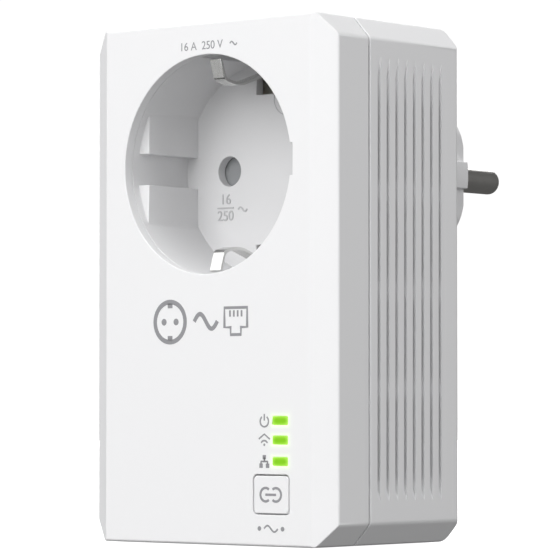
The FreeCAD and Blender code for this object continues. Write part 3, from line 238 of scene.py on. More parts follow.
class Wire:
    """One output of a node. Arithmetic on it adds the Math nodes that work the result out."""

    def __init__(self, shade, socket):
        self.shade = shade
        self.socket = socket

    def __add__(self, other):
        return self.shade.math("ADD", self, other)

    def __sub__(self, other):
        return self.shade.math("SUBTRACT", self, other)

    def __rsub__(self, other):
        return self.shade.math("SUBTRACT", other, self)

    def __mul__(self, other):
        return self.shade.math("MULTIPLY", self, other)

    def __truediv__(self, other):
        return self.shade.math("DIVIDE", self, other)

    def __rtruediv__(self, other):
        return self.shade.math("DIVIDE", other, self)

    __radd__ = __add__
    __rmul__ = __mul__


class Shade:
    """A material with one Principled shader, and the nodes that feed it."""

    def __init__(self, name):
        self.material = bpy.data.materials.new(name)
        self.material.use_nodes = True
        self.tree = self.material.node_tree
        self.shader = self.tree.nodes["Principled BSDF"]

    def make(self, kind, settings, inputs, output=0):
        """Adds a node, gives it its settings and its sockets' values or links, and returns an output."""
        node = self.tree.nodes.new("ShaderNode" + kind)
        for key, value in settings.items():
            if key == "stops":
                self.set_stops(node, value)
            else:
                setattr(node, key, value)
        for key, value in inputs.items():
            self.feed(node.inputs[key], value)
        return Wire(self, node.outputs[output])

    def set_stops(self, node, stops):
        """Gives a ramp its (position, grey) stops."""
        ramp = node.color_ramp.elements
        while len(ramp) < len(stops):
            ramp.new(0.5)
        for element, (position, grey) in zip(ramp, stops):
            element.position = position
            element.color = (grey, grey, grey, 1)

    def feed(self, socket, value):
        """Links a wire to a socket, or sets the socket to a value."""
        if isinstance(value, Wire):
            self.tree.links.new(value.socket, socket)
        else:
            socket.default_value = value

    def math(self, operation, *values, clamp=False):
        """The result of a Math node."""
        return self.make("Math", {"operation": operation, "use_clamp": clamp}, dict(enumerate(values)))

    def mix(self, factor, a, b):
        """Colour a where factor is 0 and b where it is 1."""
        return self.make("Mix", {"data_type": "RGBA"}, {0: factor, 6: a, 7: b}, 2)

    def place(self, scale=(1, 1, 1), at=(0, 0, 0)):
        """Object coordinates, moved and scaled."""
        raw = self.make("TexCoord", {}, {}, "Object")
        inputs = {"Vector": raw, "Location": at, "Scale": scale}
        return self.make("Mapping", {"vector_type": "TEXTURE"}, inputs)

    def axes(self):
        """The object's own x, y and z as three wires."""
        raw = self.make("TexCoord", {}, {}, "Object")
        split = self.make("SeparateXYZ", {}, {"Vector": raw})
        return [Wire(self, out) for out in split.socket.node.outputs]

    def noise(self, scale, detail=2.0, where=None):
        """Grey noise with that many cells to the metre."""
        where = where or self.make("TexCoord", {}, {}, "Object")
        return self.make("TexNoise", {}, {"Vector": where, "Scale": scale, "Detail": detail}, "Fac")

    def bump(self, height, distance, strength=1.0):
        """A normal bent by a height, in metres when it is 1."""
        return self.make("Bump", {}, {"Height": height, "Distance": distance, "Strength": strength}, "Normal")

    def surface(self, values):
        """Sets the Principled shader's sockets."""
        for key, value in values.items():
            self.feed(self.shader.inputs[key], value)
        return self.material


def tone(red, green=None, blue=None):
    """A colour for a shader, from screen levels of 0 to 255."""
    levels = [red, red if green is None else green, red if blue is None else blue]
    shares = [v / 255 for v in levels]
    return tuple(c / 12.92 if c <= 0.04045 else ((c + 0.055) / 1.055) ** 2.4 for c in shares) + (1.0,)


def moulded(name, colour, roughness, grain=0.000006, spread=0.05):
    """Moulded plastic: a spark-eroded grain in the mould gives it a fine bump and an uneven gloss."""
    shade = Shade(name)
    fine = shade.noise(2600.0, 3.0)
    broad = shade.noise(90.0, 2.0)
    return shade.surface(
        {
            "Base Color": colour,
            "Roughness": roughness + (broad - 0.5) * spread * 2 + (fine - 0.5) * spread,
            "Normal": shade.bump(fine, grain, 0.6),
            "IOR": 1.46,
        }
    )


def metal(name, colour, roughness, stretch=(1, 1, 1), grain=0.000004):
    """Plated or drawn metal: noise stretched along the rolling direction gives it faint lines."""
    shade = Shade(name)
    lines = shade.noise(1500.0, 4.0, shade.place(stretch))
    stain = shade.noise(160.0, 2.0)
    return shade.surface(
        {
            "Base Color": shade.mix(stain, colour, tuple(c * 0.86 for c in colour[:3]) + (1,)),
            "Metallic": 1.0,
            "Roughness": roughness + (lines - 0.5) * 0.16,
            "Normal": shade.bump(lines, grain, 0.5),
        }
    )


def glossy(name, colour, roughness=0.22, coat=0.5, mottle=0.12):
    """Lacquer, epoxy, shrink sleeve or tape: an even colour with slow changes and a clear coat."""
    shade = Shade(name)
    slow = shade.noise(220.0, 3.0)
    dark = tuple(c * (1 - mottle) for c in colour[:3]) + (1,)
    return shade.surface(
        {
            "Base Color": shade.mix(slow, colour, dark),
            "Roughness": roughness + slow * 0.08,
            "Coat Weight": coat,
            "Coat Roughness": 0.12,
            "Normal": shade.bump(slow, 0.00006, 0.4),
        }
    )


def speckled(name, colour, other, roughness, cells=1800.0):
    """Pressed powder or glass laminate: two tones of grain."""
    shade = Shade(name)
    fine = shade.noise(cells, 5.0)
    grains = shade.make("ValToRGB", {"stops": [(0.42, 0.0), (0.6, 1.0)]}, {"Fac": fine}, "Color")
    return shade.surface(
        {
            "Base Color": shade.mix(grains, colour, other),
            "Roughness": roughness,
            "Normal": shade.bump(fine, 0.00002, 0.5),
        }
    )


def glow(shade, centre, half, reach):
    """Light round a lit window: 1 / (1 + (distance / reach) ** 2), by distance from its rectangle."""
    x, _, z = shade.axes()
    outside_x = shade.math("MAXIMUM", shade.math("ABSOLUTE", x - centre[0]) - half[0], 0.0)
    outside_z = shade.math("MAXIMUM", shade.math("ABSOLUTE", z - centre[1]) - half[1], 0.0)
    away = outside_x * outside_x + outside_z * outside_z
    return 1 / (1 + away / (reach * reach))


# ---- Settings a user would change ----


class AdapterFinish(bpy.types.PropertyGroup):
    """Colours and roughness of the finished pieces."""

    case_colour: bpy.props.FloatVectorProperty(
        name="Case",
        description="White of the case",
        subtype="COLOR",
        size=4,
        min=0,
        max=1,
        default=tone(243, 243, 244),
    )
    case_roughness: bpy.props.FloatProperty(
        name="Case roughness",
        description="Roughness of the case plastic",
        subtype="FACTOR",
        default=0.46,
        min=0,
        max=1,
    )
    shutter_colour: bpy.props.FloatVectorProperty(
        name="Shutter",
        description="Grey of the shutter",
        subtype="COLOR",
        size=4,
        min=0,
        max=1,
        default=tone(146, 148, 150),
    )
    ink_colour: bpy.props.FloatVectorProperty(
        name="Ink",
        description="Grey of the printed marks",
        subtype="COLOR",
        size=4,
        min=0,
        max=1,
        default=tone(150, 150, 153),
    )
    lamp_colour: bpy.props.FloatVectorProperty(
        name="Lamp",
        description="Green of the lit windows",
        subtype="COLOR",
        size=4,
        min=0,
        max=1,
        default=tone(186, 240, 92),
    )
    lamp_strength: bpy.props.FloatProperty(
        name="Lamp strength", description="Brightness of the lit windows", default=0.85, min=0, max=10
    )


class AdapterSizes(bpy.types.PropertyGroup):
    """Sizes of the details that the finished pieces add."""

    film: bpy.props.FloatProperty(
        name="Ink film", description="Thickness of the printed ink", unit="LENGTH", default=0.03 * MM, min=0.0
    )
    edge: bpy.props.FloatProperty(
        name="Edge", description="Rounding of moulded edges", unit="LENGTH", default=0.12 * MM, min=0.0
    )
    relief: bpy.props.FloatProperty(
        name="Relief",
        description="Height of the raised figures in the socket",
        unit="LENGTH",
        default=0.15 * MM,
        min=0.0,
    )


class AdapterStage(bpy.types.PropertyGroup):
    """The studio round the object."""

    key_power: bpy.props.FloatProperty(
        name="Key", description="Power of the front light", unit="POWER", default=22.8, min=0
    )
    glint_power: bpy.props.FloatProperty(
        name="Glint",
        description="Power of the light that shows in the clips",
        unit="POWER",
        default=3.0,
        min=0,
    )
    fill_power: bpy.props.FloatProperty(
        name="Fill", description="Power of the low light near the camera", unit="POWER", default=3.0, min=0
    )
    low_power: bpy.props.FloatProperty(
        name="Low",
        description="Power of the light from below that shows in the upper clip",
        unit="POWER",
        default=0.55,
        min=0,
    )
    side_power: bpy.props.FloatProperty(
        name="Side", description="Power of the light on the right", unit="POWER", default=10.0, min=0
    )
    top_power: bpy.props.FloatProperty(
        name="Top", description="Power of the light above", unit="POWER", default=12.0, min=0
    )
    back_power: bpy.props.FloatProperty(
        name="Back", description="Power of the light behind", unit="POWER", default=13.0, min=0
    )
    sky: bpy.props.FloatProperty(
        name="Sky", description="Strength of the even light from all round", default=0.1, min=0
    )
    lens: bpy.props.FloatProperty(
        name="Lens", description="Focal length of the camera", unit="CAMERA", default=215.0, min=1
    )


# ---- Pieces ----

finishes = {}


def finish_for(name):
    """The material of a slot, made the first time it is asked for."""
    if name not in finishes:
        finishes[name] = make_finish(name)
    return finishes[name]


def case_finish(name, looks):
    """The case plastic, tinted by the lamps' light round the three windows."""
    shade = Shade(name)
    fine = shade.noise(2600.0, 3.0)
    broad = shade.noise(90.0, 2.0)
    halo = None
    for low, high in windows():
        centre = ((low.x + high.x) / 2, (low.z + high.z) / 2)
        half = ((high.x - low.x) / 2, (high.z - low.z) / 2)
        near = glow(shade, centre, half, 0.3 * MM)
        halo = near if halo is None else shade.math("MAXIMUM", halo, near)
    _, y, _ = shade.axes()
    in_front = shade.math("LESS_THAN", y, FRONT + 1.2 * MM)
    shade.surface(
        {
            "Base Color": looks.case_colour,
            "Roughness": looks.case_roughness + (broad - 0.5) * 0.08 + (fine - 0.5) * 0.05,
            "Normal": shade.bump(fine, 0.000005, 0.5),
            "IOR": 1.46,
            "Emission Color": shade.mix(halo * in_front, (0, 0, 0, 1), looks.lamp_colour),
            "Emission Strength": 0.4,
        }
    )
    return shade.material


def cup_finish_and_painted_shade(name, white):
    """The cup's plastic, a little greyer and duller towards its floor: the greying is painted shade of the
    deep recess, and the roughness rises with depth.
    """
    shade = Shade(name)
    fine = shade.noise(2200.0, 3.0)
    _, y, _ = shade.axes()
    depth = shade.math("DIVIDE", y - FRONT, RECESS_DEPTH, clamp=True)
    rim = tuple(c * 0.98 for c in white[:3]) + (1,)
    return shade.surface(
        {
            # Painted shade: the base colour darkens from the rim to the recess floor, standing in for the
            # shade deep in the socket.
            "Base Color": shade.mix(depth, rim, tone(216, 216, 217)),
            "Roughness": 0.42 + depth * 0.12 + (fine - 0.5) * 0.05,
            "Normal": shade.bump(fine, 0.000006, 0.6),
            "IOR": 1.46,
        }
    )


def lit_window(name, looks):
    """A lit window: bright green, darker in its middle."""
    shade = Shade(name)
    x, _, z = shade.axes()
    middle = None
    for low, high in windows():
        across = (x - (low.x + high.x) / 2) / ((high.x - low.x) / 2)
        up = (z - (low.z + high.z) / 2) / ((high.z - low.z) / 2)
        near = 1.15 - across * across * across * across - up * up
        near = shade.math("MAXIMUM", near, 0.0)
        middle = near if middle is None else shade.math("MAXIMUM", middle, near)
    deep = tuple(c * s for c, s in zip(looks.lamp_colour[:3], (0.5, 0.68, 0.15))) + (1,)
    return shade.surface(
        {
            "Base Color": tone(60, 110, 10),
            "Roughness": 0.25,
            "Emission Color": shade.mix(middle, looks.lamp_colour, deep),
            "Emission Strength": looks.lamp_strength,
        }
    )


def windows():
    """The lit windows in the front face, as (lowest, highest) corners, from the light pipe's own points."""
    points = np.array([v.co for v in frame["nodes"]["light_pipe"].data.vertices])
    front = points[points[:, 1] < FRONT + 0.05 * MM]
    order = np.sort(np.unique(np.round(front[:, 2], 6)))
    cuts = np.where(np.diff(order) > WINDOW_GAP)[0]
    found = []
    for group in np.split(order, cuts + 1):
        some = front[(front[:, 2] >= group[0] - MM * 0.01) & (front[:, 2] <= group[-1] + MM * 0.01)]
        found.append((Vector(some.min(0)), Vector(some.max(0))))
    return found


def make_finish(name):
    """The finish of each slot of the record."""
    looks = bpy.context.scene.adapter_finish
    white = tuple(looks.case_colour)
    if name == "case_plastic":
        return case_finish(name, looks)
    if name == "cup_plastic":
        # The cup's material carries painted shade that darkens towards the floor of its recess.
        return cup_finish_and_painted_shade(name, white)
    if name == "light_pipe_clear":
        return lit_window(name, looks)
    plastics = {
        "button_plastic": (white, 0.4),
        "shutter_plastic": (tuple(looks.shutter_colour), 0.42),
        "carrier_plastic": (tone(222, 219, 206), 0.5),
        "lead_brown": (tone(104, 62, 38), 0.38),
        "lead_blue": (tone(40, 92, 176), 0.38),
        "chip_black": (tone(44, 44, 46), 0.55),
        "thermal_grey": (tone(150, 156, 164), 0.75),
        "switch_black": (tone(40, 40, 42), 0.5),
        "plunger_white": (tone(236, 236, 230), 0.42),
        "jack_black": (tone(42, 42, 44), 0.48),
        "fuse_brown": (tone(96, 58, 42), 0.35),
        "label_paper": (tone(222, 224, 226), 0.4),
        "ink": (tuple(looks.ink_colour), 0.5),
        "ink_dark": (tone(70, 72, 75), 0.5),
        # Painted shade: the raised figures and ejector rings are moulded in the cup's white plastic, and this
        # grey stands in for the shade along their edges.
        "relief": (tone(182, 182, 184), 0.5),
    }
    metals = {
        "clip_steel": (tone(232, 232, 230), 0.24),
        "pin_nickel": (tone(232, 230, 226), 0.34),
        "contact_brass": (tone(222, 190, 116), 0.28),
        "spring_steel": (tone(196, 198, 202), 0.25),
        "screw_steel": (tone(190, 192, 196), 0.3),
        "sink_aluminium": (tone(206, 208, 212), 0.34),
        "crystal_can": (tone(214, 214, 212), 0.26),
        "shield_metal": (tone(210, 212, 216), 0.27),
        "jack_gold": (tone(238, 204, 112), 0.2),
        "choke_winding": (tone(196, 112, 62), 0.3),
        "solder": (tone(206, 208, 210), 0.24),
    }
    coats = {
        "winding_tape": tone(236, 206, 60),
        "can_sleeve": tone(40, 48, 68),
        "capacitor_box": tone(214, 196, 72),
        "varistor_blue": tone(46, 92, 172),
        "led_lens": tone(170, 226, 120),
    }
    if name in plastics:
        colour, roughness = plastics[name]
        return moulded(name, colour, roughness)
    if name in metals:
        colour, roughness = metals[name]
        return metal(name, colour, roughness)
    if name in coats:
        return glossy(name, coats[name])
    if name == "ferrite":
        return speckled(name, tone(62, 62, 66), tone(84, 84, 88), 0.62)
    if name == "board_green":
        return speckled(name, tone(20, 96, 52), tone(28, 112, 62), 0.32, 900.0)
    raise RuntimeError("no finish is written for " + name)


def merged_copy(node, name, set_back=None):
    """A CAD node's mesh with its doubled points joined and its flat faces made whole.

    A face at the front is set back to set_back, where ink lies on it.
    """
    mesh = node.data.copy()
    mesh.name = name
    if "custom_normal" in mesh.attributes:
        mesh.attributes.remove(mesh.attributes["custom_normal"])
    solid = bmesh.new()
    solid.from_mesh(mesh)
    bmesh.ops.remove_doubles(solid, verts=solid.verts, dist=0.002 * MM)
    bmesh.ops.dissolve_limit(
        solid,
        angle_limit=math.radians(0.2),
        use_dissolve_boundaries=False,
        verts=solid.verts,
        edges=solid.edges,
    )
    solid.to_mesh(mesh)
    solid.free()
    if set_back is not None:
        points = np.empty(len(mesh.vertices) * 3)
        mesh.vertices.foreach_get("co", points)
        points = points.reshape(-1, 3)
        points[:, 1] = np.maximum(points[:, 1], set_back)
        mesh.vertices.foreach_set("co", points.ravel())
        mesh.update()
    return mesh


def add_piece(name, mesh, body, material, edge=0.0, crease=35.0):
    """Puts a mesh in the scene on its body, with its finish and rounded edges."""
    mesh.materials.clear()
    mesh.materials.append(finish_for(material))
    piece = bpy.data.objects.new(name, mesh)
    bpy.context.scene.collection.objects.link(piece)
    mesh.shade_smooth()
    mesh.set_sharp_from_angle(angle=math.radians(crease))
    if edge > 0:
        rounding = piece.modifiers.new("Rounded edges", "BEVEL")
        rounding.width = edge
        rounding.segments = 2
        rounding.limit_method = "ANGLE"
        rounding.angle_limit = math.radians(crease)
        rounding.use_clamp_overlap = False
        even = piece.modifiers.new("Even shading", "WEIGHTED_NORMAL")
        even.keep_sharp = True
    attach(piece, body)
    return piece


def finished(node_name, edge=0.0, set_back=None):
    """A CAD node's finished copy, which stands for it."""
    node = frame["nodes"][node_name]
    slot = node.data.materials[0].name
    mesh = merged_copy(node, node_name + "_mesh", set_back)
    piece = add_piece(node_name + "_finished", mesh, node["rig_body"], slot, edge)
    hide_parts(node_name)
    return piece


class ADAPTER_OT_case(bpy.types.Operator):
    """Finish the two case halves, the plug hub and the case screws"""

    bl_idname = "adapter.case"
    bl_label = "Case"

    def execute(self, context):
        sizes = context.scene.adapter_sizes
        finished("front_cover", sizes.edge, FRONT + sizes.film)
        finished("rear_cover", sizes.edge)
        finished("plug_hub", sizes.edge)
        finished("case_screws")
        return {"FINISHED"}


class ADAPTER_OT_socket(bpy.types.Operator):
    """Finish the socket cup, its shutter, clips and screws, and mark its floor"""

    bl_idname = "adapter.socket"
    bl_label = "Socket"

    def execute(self, context):
        sizes = context.scene.adapter_sizes
        finished("socket_cup", sizes.edge)
        finished("shutter", sizes.edge)
        finished("earth_clip_top", 0.06 * MM)
        finished("earth_clip_bottom", 0.06 * MM)
        finished("shutter_spring")
        finished("socket_screws")
        deep = sizes.relief
        floor_y = FRONT + RECESS_DEPTH
        y = floor_y - deep / 2 + 0.02 * MM
        parts = [
            lettering("16", FIGURES_HEIGHT, FIGURES_X, -5.3 * MM, y, deep),
            lettering("250", FIGURES_HEIGHT, FIGURES_X, -8.4 * MM, y, deep),
            bar(-12.4 * MM, -6.98 * MM, -8.4 * MM, -6.72 * MM, y, deep),
            stroke(*wave(-6.2 * MM, -7.2 * MM, 2.2 * MM, 0.4 * MM), 0.28 * MM, y, deep),
        ]
        # The figures and rings take the grey relief colour: painted shade along their raised edges.
        add_piece("socket_figures", mesh_of("socket_figures", parts), "adapter", "relief")
        rings = []
        for side in (-1, 1):
            rings.append(ring(EJECTOR_X, side * EJECTOR_Z, EJECTOR_RADIUS, 0.16 * MM, floor_y, 0.1 * MM))
        add_piece("ejector_rings", mesh_of("ejector_rings", rings), "adapter", "relief")
        return {"FINISHED"}


class ADAPTER_OT_plug(bpy.types.Operator):
    """Finish the plug pins, their retainer and the earth contacts"""

    bl_idname = "adapter.plug"
    bl_label = "Plug"

    def execute(self, context):
        for name in ("live_pin", "neutral_pin", "earth_sleeve"):
            finished(name)
        for name in ("pin_retainer", "earth_plate_top", "earth_plate_bottom"):
            finished(name, 0.1 * MM)
        return {"FINISHED"}


class ADAPTER_OT_contacts(bpy.types.Operator):
    """Finish the contact carrier, the socket contacts, the earth strap and the leads"""

    bl_idname = "adapter.contacts"
    bl_label = "Contacts and leads"

    def execute(self, context):
        for name in ("contact_carrier", "live_contact", "neutral_contact", "earth_strap"):
            finished(name, 0.08 * MM)
        for name in ("carrier_screws", "live_lead", "neutral_lead"):
            finished(name)
        return {"FINISHED"}


class ADAPTER_OT_board(bpy.types.Operator):
    """Finish the board and everything soldered to it"""

    bl_idname = "adapter.board"
    bl_label = "Board"

    def execute(self, context):
        edged = (
            "main_board power_transformer_core power_transformer_winding bulk_capacitor output_capacitor "
            "mains_filter_capacitor fuse coupling_transformer powerline_chip thermal_pad heat_sink "
            "ethernet_transformer memory_chip clock_crystal tact_switch"
        )
        for name in edged.split():
            finished(name, 0.08 * MM)
        for name in ("board_screws", "surge_varistor", "line_choke"):
            finished(name)
        return {"FINISHED"}


class ADAPTER_OT_port(bpy.types.Operator):
    """Finish the network jack"""

    bl_idname = "adapter.port"
    bl_label = "Network jack"

    def execute(self, context):
        finished("ethernet_jack_shield", 0.05 * MM)
        finished("ethernet_jack_housing", 0.06 * MM)
        finished("ethernet_jack_contacts")
        return {"FINISHED"}


class ADAPTER_OT_lamps(bpy.types.Operator):
    """Light the three windows and finish the lamps behind them"""

    bl_idname = "adapter.lamps"
    bl_label = "Lamps"

    def execute(self, context):
        finished("light_pipe", 0.06 * MM)
        finished("status_leds", 0.05 * MM)
        return {"FINISHED"}


class ADAPTER_OT_button(bpy.types.Operator):
    """Finish the button and its plunger, and print the linked rings on the button"""

    bl_idname = "adapter.button"
    bl_label = "Button"

    def execute(self, context):
        sizes = context.scene.adapter_sizes
        finished("pair_button", sizes.edge, FRONT + sizes.film)
        finished("switch_plunger", 0.08 * MM)
        y = FRONT + sizes.film / 2
        deep = sizes.film
        low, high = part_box("pair_button")
        cx, cz = (low.x + high.x) / 2 - 0.05 * MM, (low.z + high.z) / 2
        parts = []
        for side in (-1, 1):
            turn = 180 * (side > 0)
            x, z = arc(cx + side * 1.2 * MM, cz, 1.2 * MM, 50 + turn, 310 + turn)
            parts.append(stroke(x, z, 0.45 * MM, y, deep))
        parts.append(bar(cx - 1.25 * MM, cz - 0.22 * MM, cx + 1.25 * MM, cz + 0.22 * MM, y, deep))
        add_piece("button_mark", mesh_of("button_mark", parts), "pair_button", "ink")
        return {"FINISHED"}


def power_icon(cx, cz, size, line, y, deep):
    """An open ring with a bar in its gap."""
    x, z = arc(cx, cz - size * 0.06, size * 0.42, 125, 415)
    return [
        stroke(x, z, line, y, deep),
        bar(cx - line / 2, cz, cx + line / 2, cz + size * 0.52, y, deep),
    ]


def home_icon(cx, cz, size, line, y, deep):
    """A roof over a signal: a chevron, an arc and a dot."""
    x = np.array([-0.56, 0.0, 0.56]) * size + cx
    z = np.array([0.08, 0.46, 0.08]) * size + cz
    ax, az = arc(cx, cz - size * 0.4, size * 0.36, 30, 150)
    return [
        stroke(x, z, line, y, deep),
        stroke(ax, az, line, y, deep),
        disc(cx, cz - size * 0.36, line * 0.75, y, deep),
    ]


def network_icon(cx, cz, size, line, y, deep):
    """Three boxes on a branching line."""
    box = size * 0.17
    parts = [
        bar(cx - box, cz + size * 0.5 - box * 2, cx + box, cz + size * 0.5, y, deep),
        bar(cx - line / 2, cz, cx + line / 2, cz + size * 0.3, y, deep),
        bar(cx - size * 0.36, cz - line / 2, cx + size * 0.36, cz + line / 2, y, deep),
    ]
    for side in (-1, 1):
        middle = cx + side * size * 0.33
        parts.append(bar(middle - line / 2, cz - size * 0.2, middle + line / 2, cz, y, deep))
        parts.append(bar(middle - box, cz - size * 0.5, middle + box, cz - size * 0.5 + box * 2, y, deep))
    return parts


def socket_icon(cx, cz, size, line, y, deep):
    """A socket seen from the front: a ring with two holes and two earth bars."""
    parts = [ring(cx, cz, size / 2 - line / 2, line, y, deep)]
    for side in (-1, 1):
        parts.append(disc(cx + side * size * 0.18, cz, size * 0.075, y, deep))
        edge = cz + side * size * 0.36
        parts.append(bar(cx - size * 0.07, edge - size * 0.05, cx + size * 0.07, edge + size * 0.05, y, deep))
    return parts


def port_icon(cx, cz, size, line, y, deep):
    """A network port: a box with a foot for the latch and four contacts."""
    half = size / 2
    x = np.array([-1, 1, 1, 0.45, 0.45, -0.45, -0.45, -1]) * half + cx
    z = np.array([0.8, 0.8, -0.5, -0.5, -1.0, -1.0, -0.5, -0.5]) * half + cz
    parts = [stroke(x, z, line, y, deep, True)]
    for k in range(4):
        middle = cx + (k - 1.5) * size * 0.17
        parts.append(bar(middle - line / 3, cz + half * 0.2, middle + line / 3, cz + half * 0.62, y, deep))
    return parts


class ADAPTER_OT_prints(bpy.types.Operator):
    """Print the front face: rating, pictogram row and lamp icons"""

    bl_idname = "adapter.prints"
    bl_label = "Prints"

    def execute(self, context):
        deep = context.scene.adapter_sizes.film
        y = FRONT + deep / 2
        centres = [(low + high) / 2 for low, high in windows()]
        icons = (network_icon, home_icon, power_icon)
        parts = []
        for centre, icon in zip(centres, icons):
            parts += icon(ICON_X, centre.z, ICON_SIZE, ICON_LINE, y, deep)
        parts += socket_icon(-8.7 * MM, ROW_Z, 8.2 * MM, 0.85 * MM, y, deep)
        parts.append(stroke(*wave(0.0, ROW_Z, 5.6 * MM, 1.35 * MM), 0.8 * MM, y, deep))
        parts += port_icon(7.2 * MM, -28.4 * MM, 5.4 * MM, 0.6 * MM, y, deep)
        parts.append(stroke(*wave(BUTTON_X, UNDER_BUTTON_Z, 3.2 * MM, 0.55 * MM), 0.32 * MM, y, deep))
        for side in (-1, 1):
            parts.append(disc(BUTTON_X + side * 2.7 * MM, UNDER_BUTTON_Z, 0.42 * MM, y, deep))
        parts.append(lettering("16 A  250 V", 1.5 * MM, -1.2 * MM, RATING_Z, y, deep))
        parts.append(stroke(*wave(6.6 * MM, RATING_Z, 1.7 * MM, 0.32 * MM), 0.26 * MM, y, deep))
        add_piece("front_prints", mesh_of("front_prints", parts), "adapter", "ink")
        return {"FINISHED"}


class ADAPTER_OT_label(bpy.types.Operator):
    """Finish the rear label and print its plain lines and bars"""

    bl_idname = "adapter.label"
    bl_label = "Rear label"

    def execute(self, context):
        finished("rear_label")
        low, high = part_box("rear_label")
        deep = 0.03 * MM
        y = high.y + deep / 2
        rng = np.random.default_rng(7)
        parts = []
        start, end, top = high.x - 2 * MM, low.x + 2 * MM, high.z - 2.5 * MM
        for k, share in enumerate((0.55, 0.9, 0.75, 0.86, 0.6)):
            z = top - k * 2.2 * MM
            parts.append(bar(start + (end - start) * share, z - 0.8 * MM, start, z, y, deep))
        x = start
        base = low.z + 2.5 * MM
        while x > start - 17 * MM:
            width = rng.choice((0.25, 0.5, 0.75)) * MM
            parts.append(bar(x - width, base, x, base + 6 * MM, y, deep))
            x -= width + rng.choice((0.3, 0.55)) * MM
        parts.append(ring(end + 4 * MM, base + 3 * MM, 2.7 * MM, 0.35 * MM, y, deep))
        parts.append(stroke(*wave(end + 4 * MM, base + 3 * MM, 3 * MM, -0.8 * MM), 0.35 * MM, y, deep))
        add_piece("label_print", mesh_of("label_print", parts), "adapter", "ink_dark")
        return {"FINISHED"}


def lamp(name, place, target, size, power):
    """A square light at place that faces target."""
    data = bpy.data.lights.new(name, "AREA")
    data.size = size
    data.energy = power
    holder = bpy.data.objects.new(name, data)
    holder.location = place
    holder.rotation_euler = (Vector(target) - Vector(place)).to_track_quat("-Z", "Y").to_euler()
    holder.visible_camera = False
    bpy.context.scene.collection.objects.link(holder)
    return holder


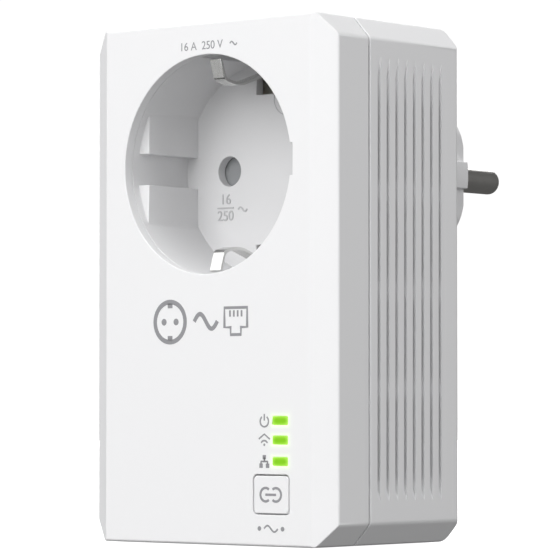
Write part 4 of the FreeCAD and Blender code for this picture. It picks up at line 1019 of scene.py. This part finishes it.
class ADAPTER_OT_stage(bpy.types.Operator):
    """Set up the floor, the backdrop, the lights and the camera"""

    bl_idname = "adapter.stage"
    bl_label = "Stage"

    def execute(self, context):
        stage = context.scene.adapter_stage
        scene = context.scene
        paper = Shade("stage_paper")
        behind = paper.make("NewGeometry", {}, {}, "Backfacing")
        paper.surface(
            {
                "Base Color": (0.9, 0.9, 0.9, 1),
                "Roughness": 0.8,
                "Emission Color": (1, 1, 1, 1),
                "Emission Strength": 0.97,
                "Alpha": paper.math("SUBTRACT", 1.0, behind),
            }
        )
        bright = Shade("stage_backdrop")
        bright.surface(
            {
                "Base Color": (0, 0, 0, 1),
                "Emission Color": (1, 1, 1, 1),
                "Emission Strength": 1.05,
                "Specular IOR Level": 0.0,
            }
        )
        reach = 7.0
        floor_mesh = bpy.data.meshes.new("floor")
        level = BASE - 0.2 * MM
        turned = ((-1, -1), (1, -1), (1, 1), (-1, 1))
        corners = [(a * reach, b * reach, level) for a, b in turned]
        floor_mesh.from_pydata(corners, [], [(0, 1, 2, 3)])
        floor_mesh.materials.append(paper.material)
        floor = bpy.data.objects.new("floor", floor_mesh)
        rows, columns = 20, 48
        heights = np.linspace(-1.0, 1.0, rows)
        round_turn = np.linspace(0, 2 * math.pi, columns, endpoint=False)
        height, turns = np.meshgrid(heights, round_turn, indexing="ij")
        tilt = height * math.pi / 2
        points = np.stack([np.cos(tilt) * np.cos(turns), np.cos(tilt) * np.sin(turns), np.sin(tilt)], 2) * 6.0
        dome_mesh = bpy.data.meshes.new("backdrop")
        dome_mesh.from_pydata(points.reshape(-1, 3).tolist(), [], stitched(rows, columns, False).tolist())
        dome_mesh.materials.append(bright.material)
        dome = bpy.data.objects.new("backdrop", dome_mesh)
        for thing in (floor, dome):
            scene.collection.objects.link(thing)
        floor.visible_diffuse = False
        floor.visible_glossy = False
        floor.visible_shadow = False
        dome.visible_diffuse = False
        dome.visible_glossy = False
        dome.visible_shadow = False
        middle = (0.0, -0.03, -0.02)
        lights = [
            lamp("key", (-0.05, -1.5, 0.62), middle, 1.5, stage.key_power),
            lamp("glint", (-1.1, -1.0, 0.82), middle, 0.8, stage.glint_power),
            lamp("fill", (0.9, -1.3, -0.02), middle, 0.7, stage.fill_power),
            lamp("low", (-1.0, -1.1, -0.72), middle, 0.6, stage.low_power),
            lamp("side", (1.6, 0.1, 0.45), middle, 1.2, stage.side_power),
            lamp("top", (0.15, -0.35, 1.55), middle, 1.2, stage.top_power),
            lamp("back", (-1.1, 1.3, 0.5), middle, 1.2, stage.back_power),
        ]
        world = bpy.data.worlds.new("sky")
        world.use_nodes = True
        world.node_tree.nodes["Background"].inputs["Color"].default_value = (1, 1, 1, 1)
        world.node_tree.nodes["Background"].inputs["Strength"].default_value = stage.sky
        scene.world = world
        scene.view_settings.view_transform = "Standard"
        data = bpy.data.cameras.new("camera")
        data.lens = stage.lens
        data.sensor_width = 36.0
        data.clip_start = 0.01
        camera = bpy.data.objects.new("camera", data)
        yaw, pitch = math.radians(40.11), math.radians(2.18)
        ahead = Vector((-math.sin(yaw) * math.cos(pitch), math.cos(yaw) * math.cos(pitch), math.sin(pitch)))
        camera.location = (0.40107, -0.51069, -0.04419)
        camera.rotation_euler = ahead.to_track_quat("-Z", "Y").to_euler()
        scene.collection.objects.link(camera)
        scene.camera = camera
        return {"FINISHED"}


class ADAPTER_PT_panel(bpy.types.Panel):
    """Sidebar panel with the adapter's settings and steps"""

    bl_idname = "ADAPTER_PT_panel"
    bl_label = "Powerline Adapter"
    bl_space_type = "VIEW_3D"
    bl_region_type = "UI"
    bl_category = "Adapter"

    def draw(self, context):
        scene = context.scene
        for group in (scene.adapter_finish, scene.adapter_sizes, scene.adapter_stage):
            for key in group.__annotations__:
                self.layout.prop(group, key)
        for step in STEPS:
            self.layout.operator(step.bl_idname)


STEPS = (
    ADAPTER_OT_case,
    ADAPTER_OT_socket,
    ADAPTER_OT_plug,
    ADAPTER_OT_contacts,
    ADAPTER_OT_board,
    ADAPTER_OT_port,
    ADAPTER_OT_lamps,
    ADAPTER_OT_button,
    ADAPTER_OT_prints,
    ADAPTER_OT_label,
    ADAPTER_OT_stage,
)
GROUPS = {"adapter_finish": AdapterFinish, "adapter_sizes": AdapterSizes, "adapter_stage": AdapterStage}


def register():
    """Registers the settings, the steps and the panel."""
    for name, group in GROUPS.items():
        bpy.utils.register_class(group)
        setattr(bpy.types.Scene, name, bpy.props.PointerProperty(type=group))
    for thing in (*STEPS, ADAPTER_PT_panel):
        bpy.utils.register_class(thing)


def unregister():
    """Removes what register added."""
    for thing in (ADAPTER_PT_panel, *reversed(STEPS)):
        bpy.utils.unregister_class(thing)
    for name, group in GROUPS.items():
        delattr(bpy.types.Scene, name)
        bpy.utils.unregister_class(group)


def main():
    """Builds every piece and the stage."""
    register()
    for step in STEPS:
        owner, action = step.bl_idname.split(".")
        getattr(getattr(bpy.ops, owner), action)()


if __name__ == "__main__":
    main()
